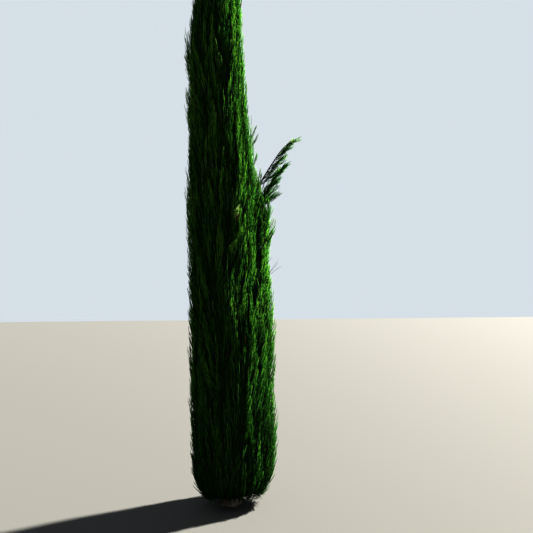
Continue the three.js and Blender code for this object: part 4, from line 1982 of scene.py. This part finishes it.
@dataclass
class Studio:
    """Pale floor, pale surroundings, one strong soft light and the photograph's camera."""

    image_px: float = 533.0
    focal_px: float = 560.0
    camera_place: tuple[float, float, float] = (0.4025, -6.14, 2.0)
    camera_pitch: float = math.radians(4.85)
    camera_roll: float = 0.010
    sensor: float = 36.0
    floor_size: float = 400.0
    floor_height: float = -0.001
    floor_colour: Colour = (0.055, 0.055, 0.053)
    floor_roughness: float = 0.9
    floor_gloss: float = 0.2
    sky_colour: Colour = (0.84, 0.90, 0.95)
    sky_strength: float = 0.9
    sun_bearing: float = math.radians(31)
    sun_elevation: float = math.radians(50)
    sun_strength: float = 38.0
    sun_colour: Colour = (1.0, 0.96, 0.88)
    sun_spread: float = math.radians(3)
    view_gamma: float = 0.7

    def build(self) -> None:
        """Sets the floor, the lights and the camera."""
        self._floor()
        self._lights()
        self._camera()
        view = bpy.context.scene.view_settings
        view.view_transform = "Standard"
        view.gamma = self.view_gamma

    def _floor(self) -> None:
        """Lays the floor, which isn't part of the tree."""
        deselect_all()
        bpy.ops.mesh.primitive_plane_add(size=self.floor_size, location=(0, 0, self.floor_height))
        floor = bpy.context.object
        floor.name = "studio_floor"
        finish = Shader("floor").plain(self.floor_colour, self.floor_roughness, self.floor_gloss)
        floor.data.materials.append(finish)

    def _lights(self) -> None:
        """Sets the key light on the right, a little behind the tree, and the pale surroundings."""
        flat = math.cos(self.sun_elevation)
        towards = Vector(
            (
                math.cos(self.sun_bearing) * flat,
                math.sin(self.sun_bearing) * flat,
                math.sin(self.sun_elevation),
            )
        )
        light = bpy.data.lights.new("key_light", "SUN")
        light.energy = self.sun_strength
        light.angle = self.sun_spread
        light.color = self.sun_colour
        key = bpy.data.objects.new("key_light", light)
        key.rotation_euler = towards.to_track_quat("Z", "Y").to_euler()
        bpy.context.scene.collection.objects.link(key)
        world = bpy.data.worlds.new("pale_surroundings")
        world.use_nodes = True
        background = world.node_tree.nodes["Background"]
        background.inputs["Color"].default_value = (*self.sky_colour, 1.0)
        background.inputs["Strength"].default_value = self.sky_strength
        bpy.context.scene.world = world

    def _camera(self) -> None:
        """Sets the camera where the photograph was taken from."""
        data = bpy.data.cameras.new("photo_camera")
        data.sensor_width = self.sensor
        data.lens = self.sensor * self.focal_px / self.image_px
        data.clip_end = 1000.0
        camera = bpy.data.objects.new("photo_camera", data)
        camera.location = self.camera_place
        level = Euler((math.pi / 2 + self.camera_pitch, 0.0, 0.0)).to_matrix()
        camera.rotation_euler = (level @ Euler((0.0, 0.0, -self.camera_roll)).to_matrix()).to_euler()
        bpy.context.scene.collection.objects.link(camera)
        bpy.context.scene.camera = camera


def main() -> None:
    """Builds the tree and the studio in order."""
    logging.basicConfig(level=logging.INFO, format="%(message)s")
    crown = Crown()
    draw = np.random.RandomState(SEED)
    grower = SprayGrower(draw)
    shapes = [grower.grow() for _ in range(SPRAY_SHAPES)]
    leaves = [finish.material() for finish in LEAF_FINISHES]
    green_twig, bare_twig = GREEN_TWIG.material(), BARE_TWIG.material()
    Trunk(crown, TRUNK_BARK).build()
    flames = Flames(crown, draw)
    InnerFoliage(crown, flames, ShadedInnerFinish()).build()
    rule = PlumeRule(crown, SeededNumbers(SEED), flames)
    Foliage(crown, rule, draw, shapes, leaves, green_twig).build()
    Strays(shapes, leaves, bare_twig, BOUGH_BARK, draw).build()
    Wisps(crown, shapes, leaves, bare_twig, draw).build()
    Hem(crown, shapes, leaves, green_twig, draw).build()
    Studio().build()


if __name__ == "__main__":
    main()
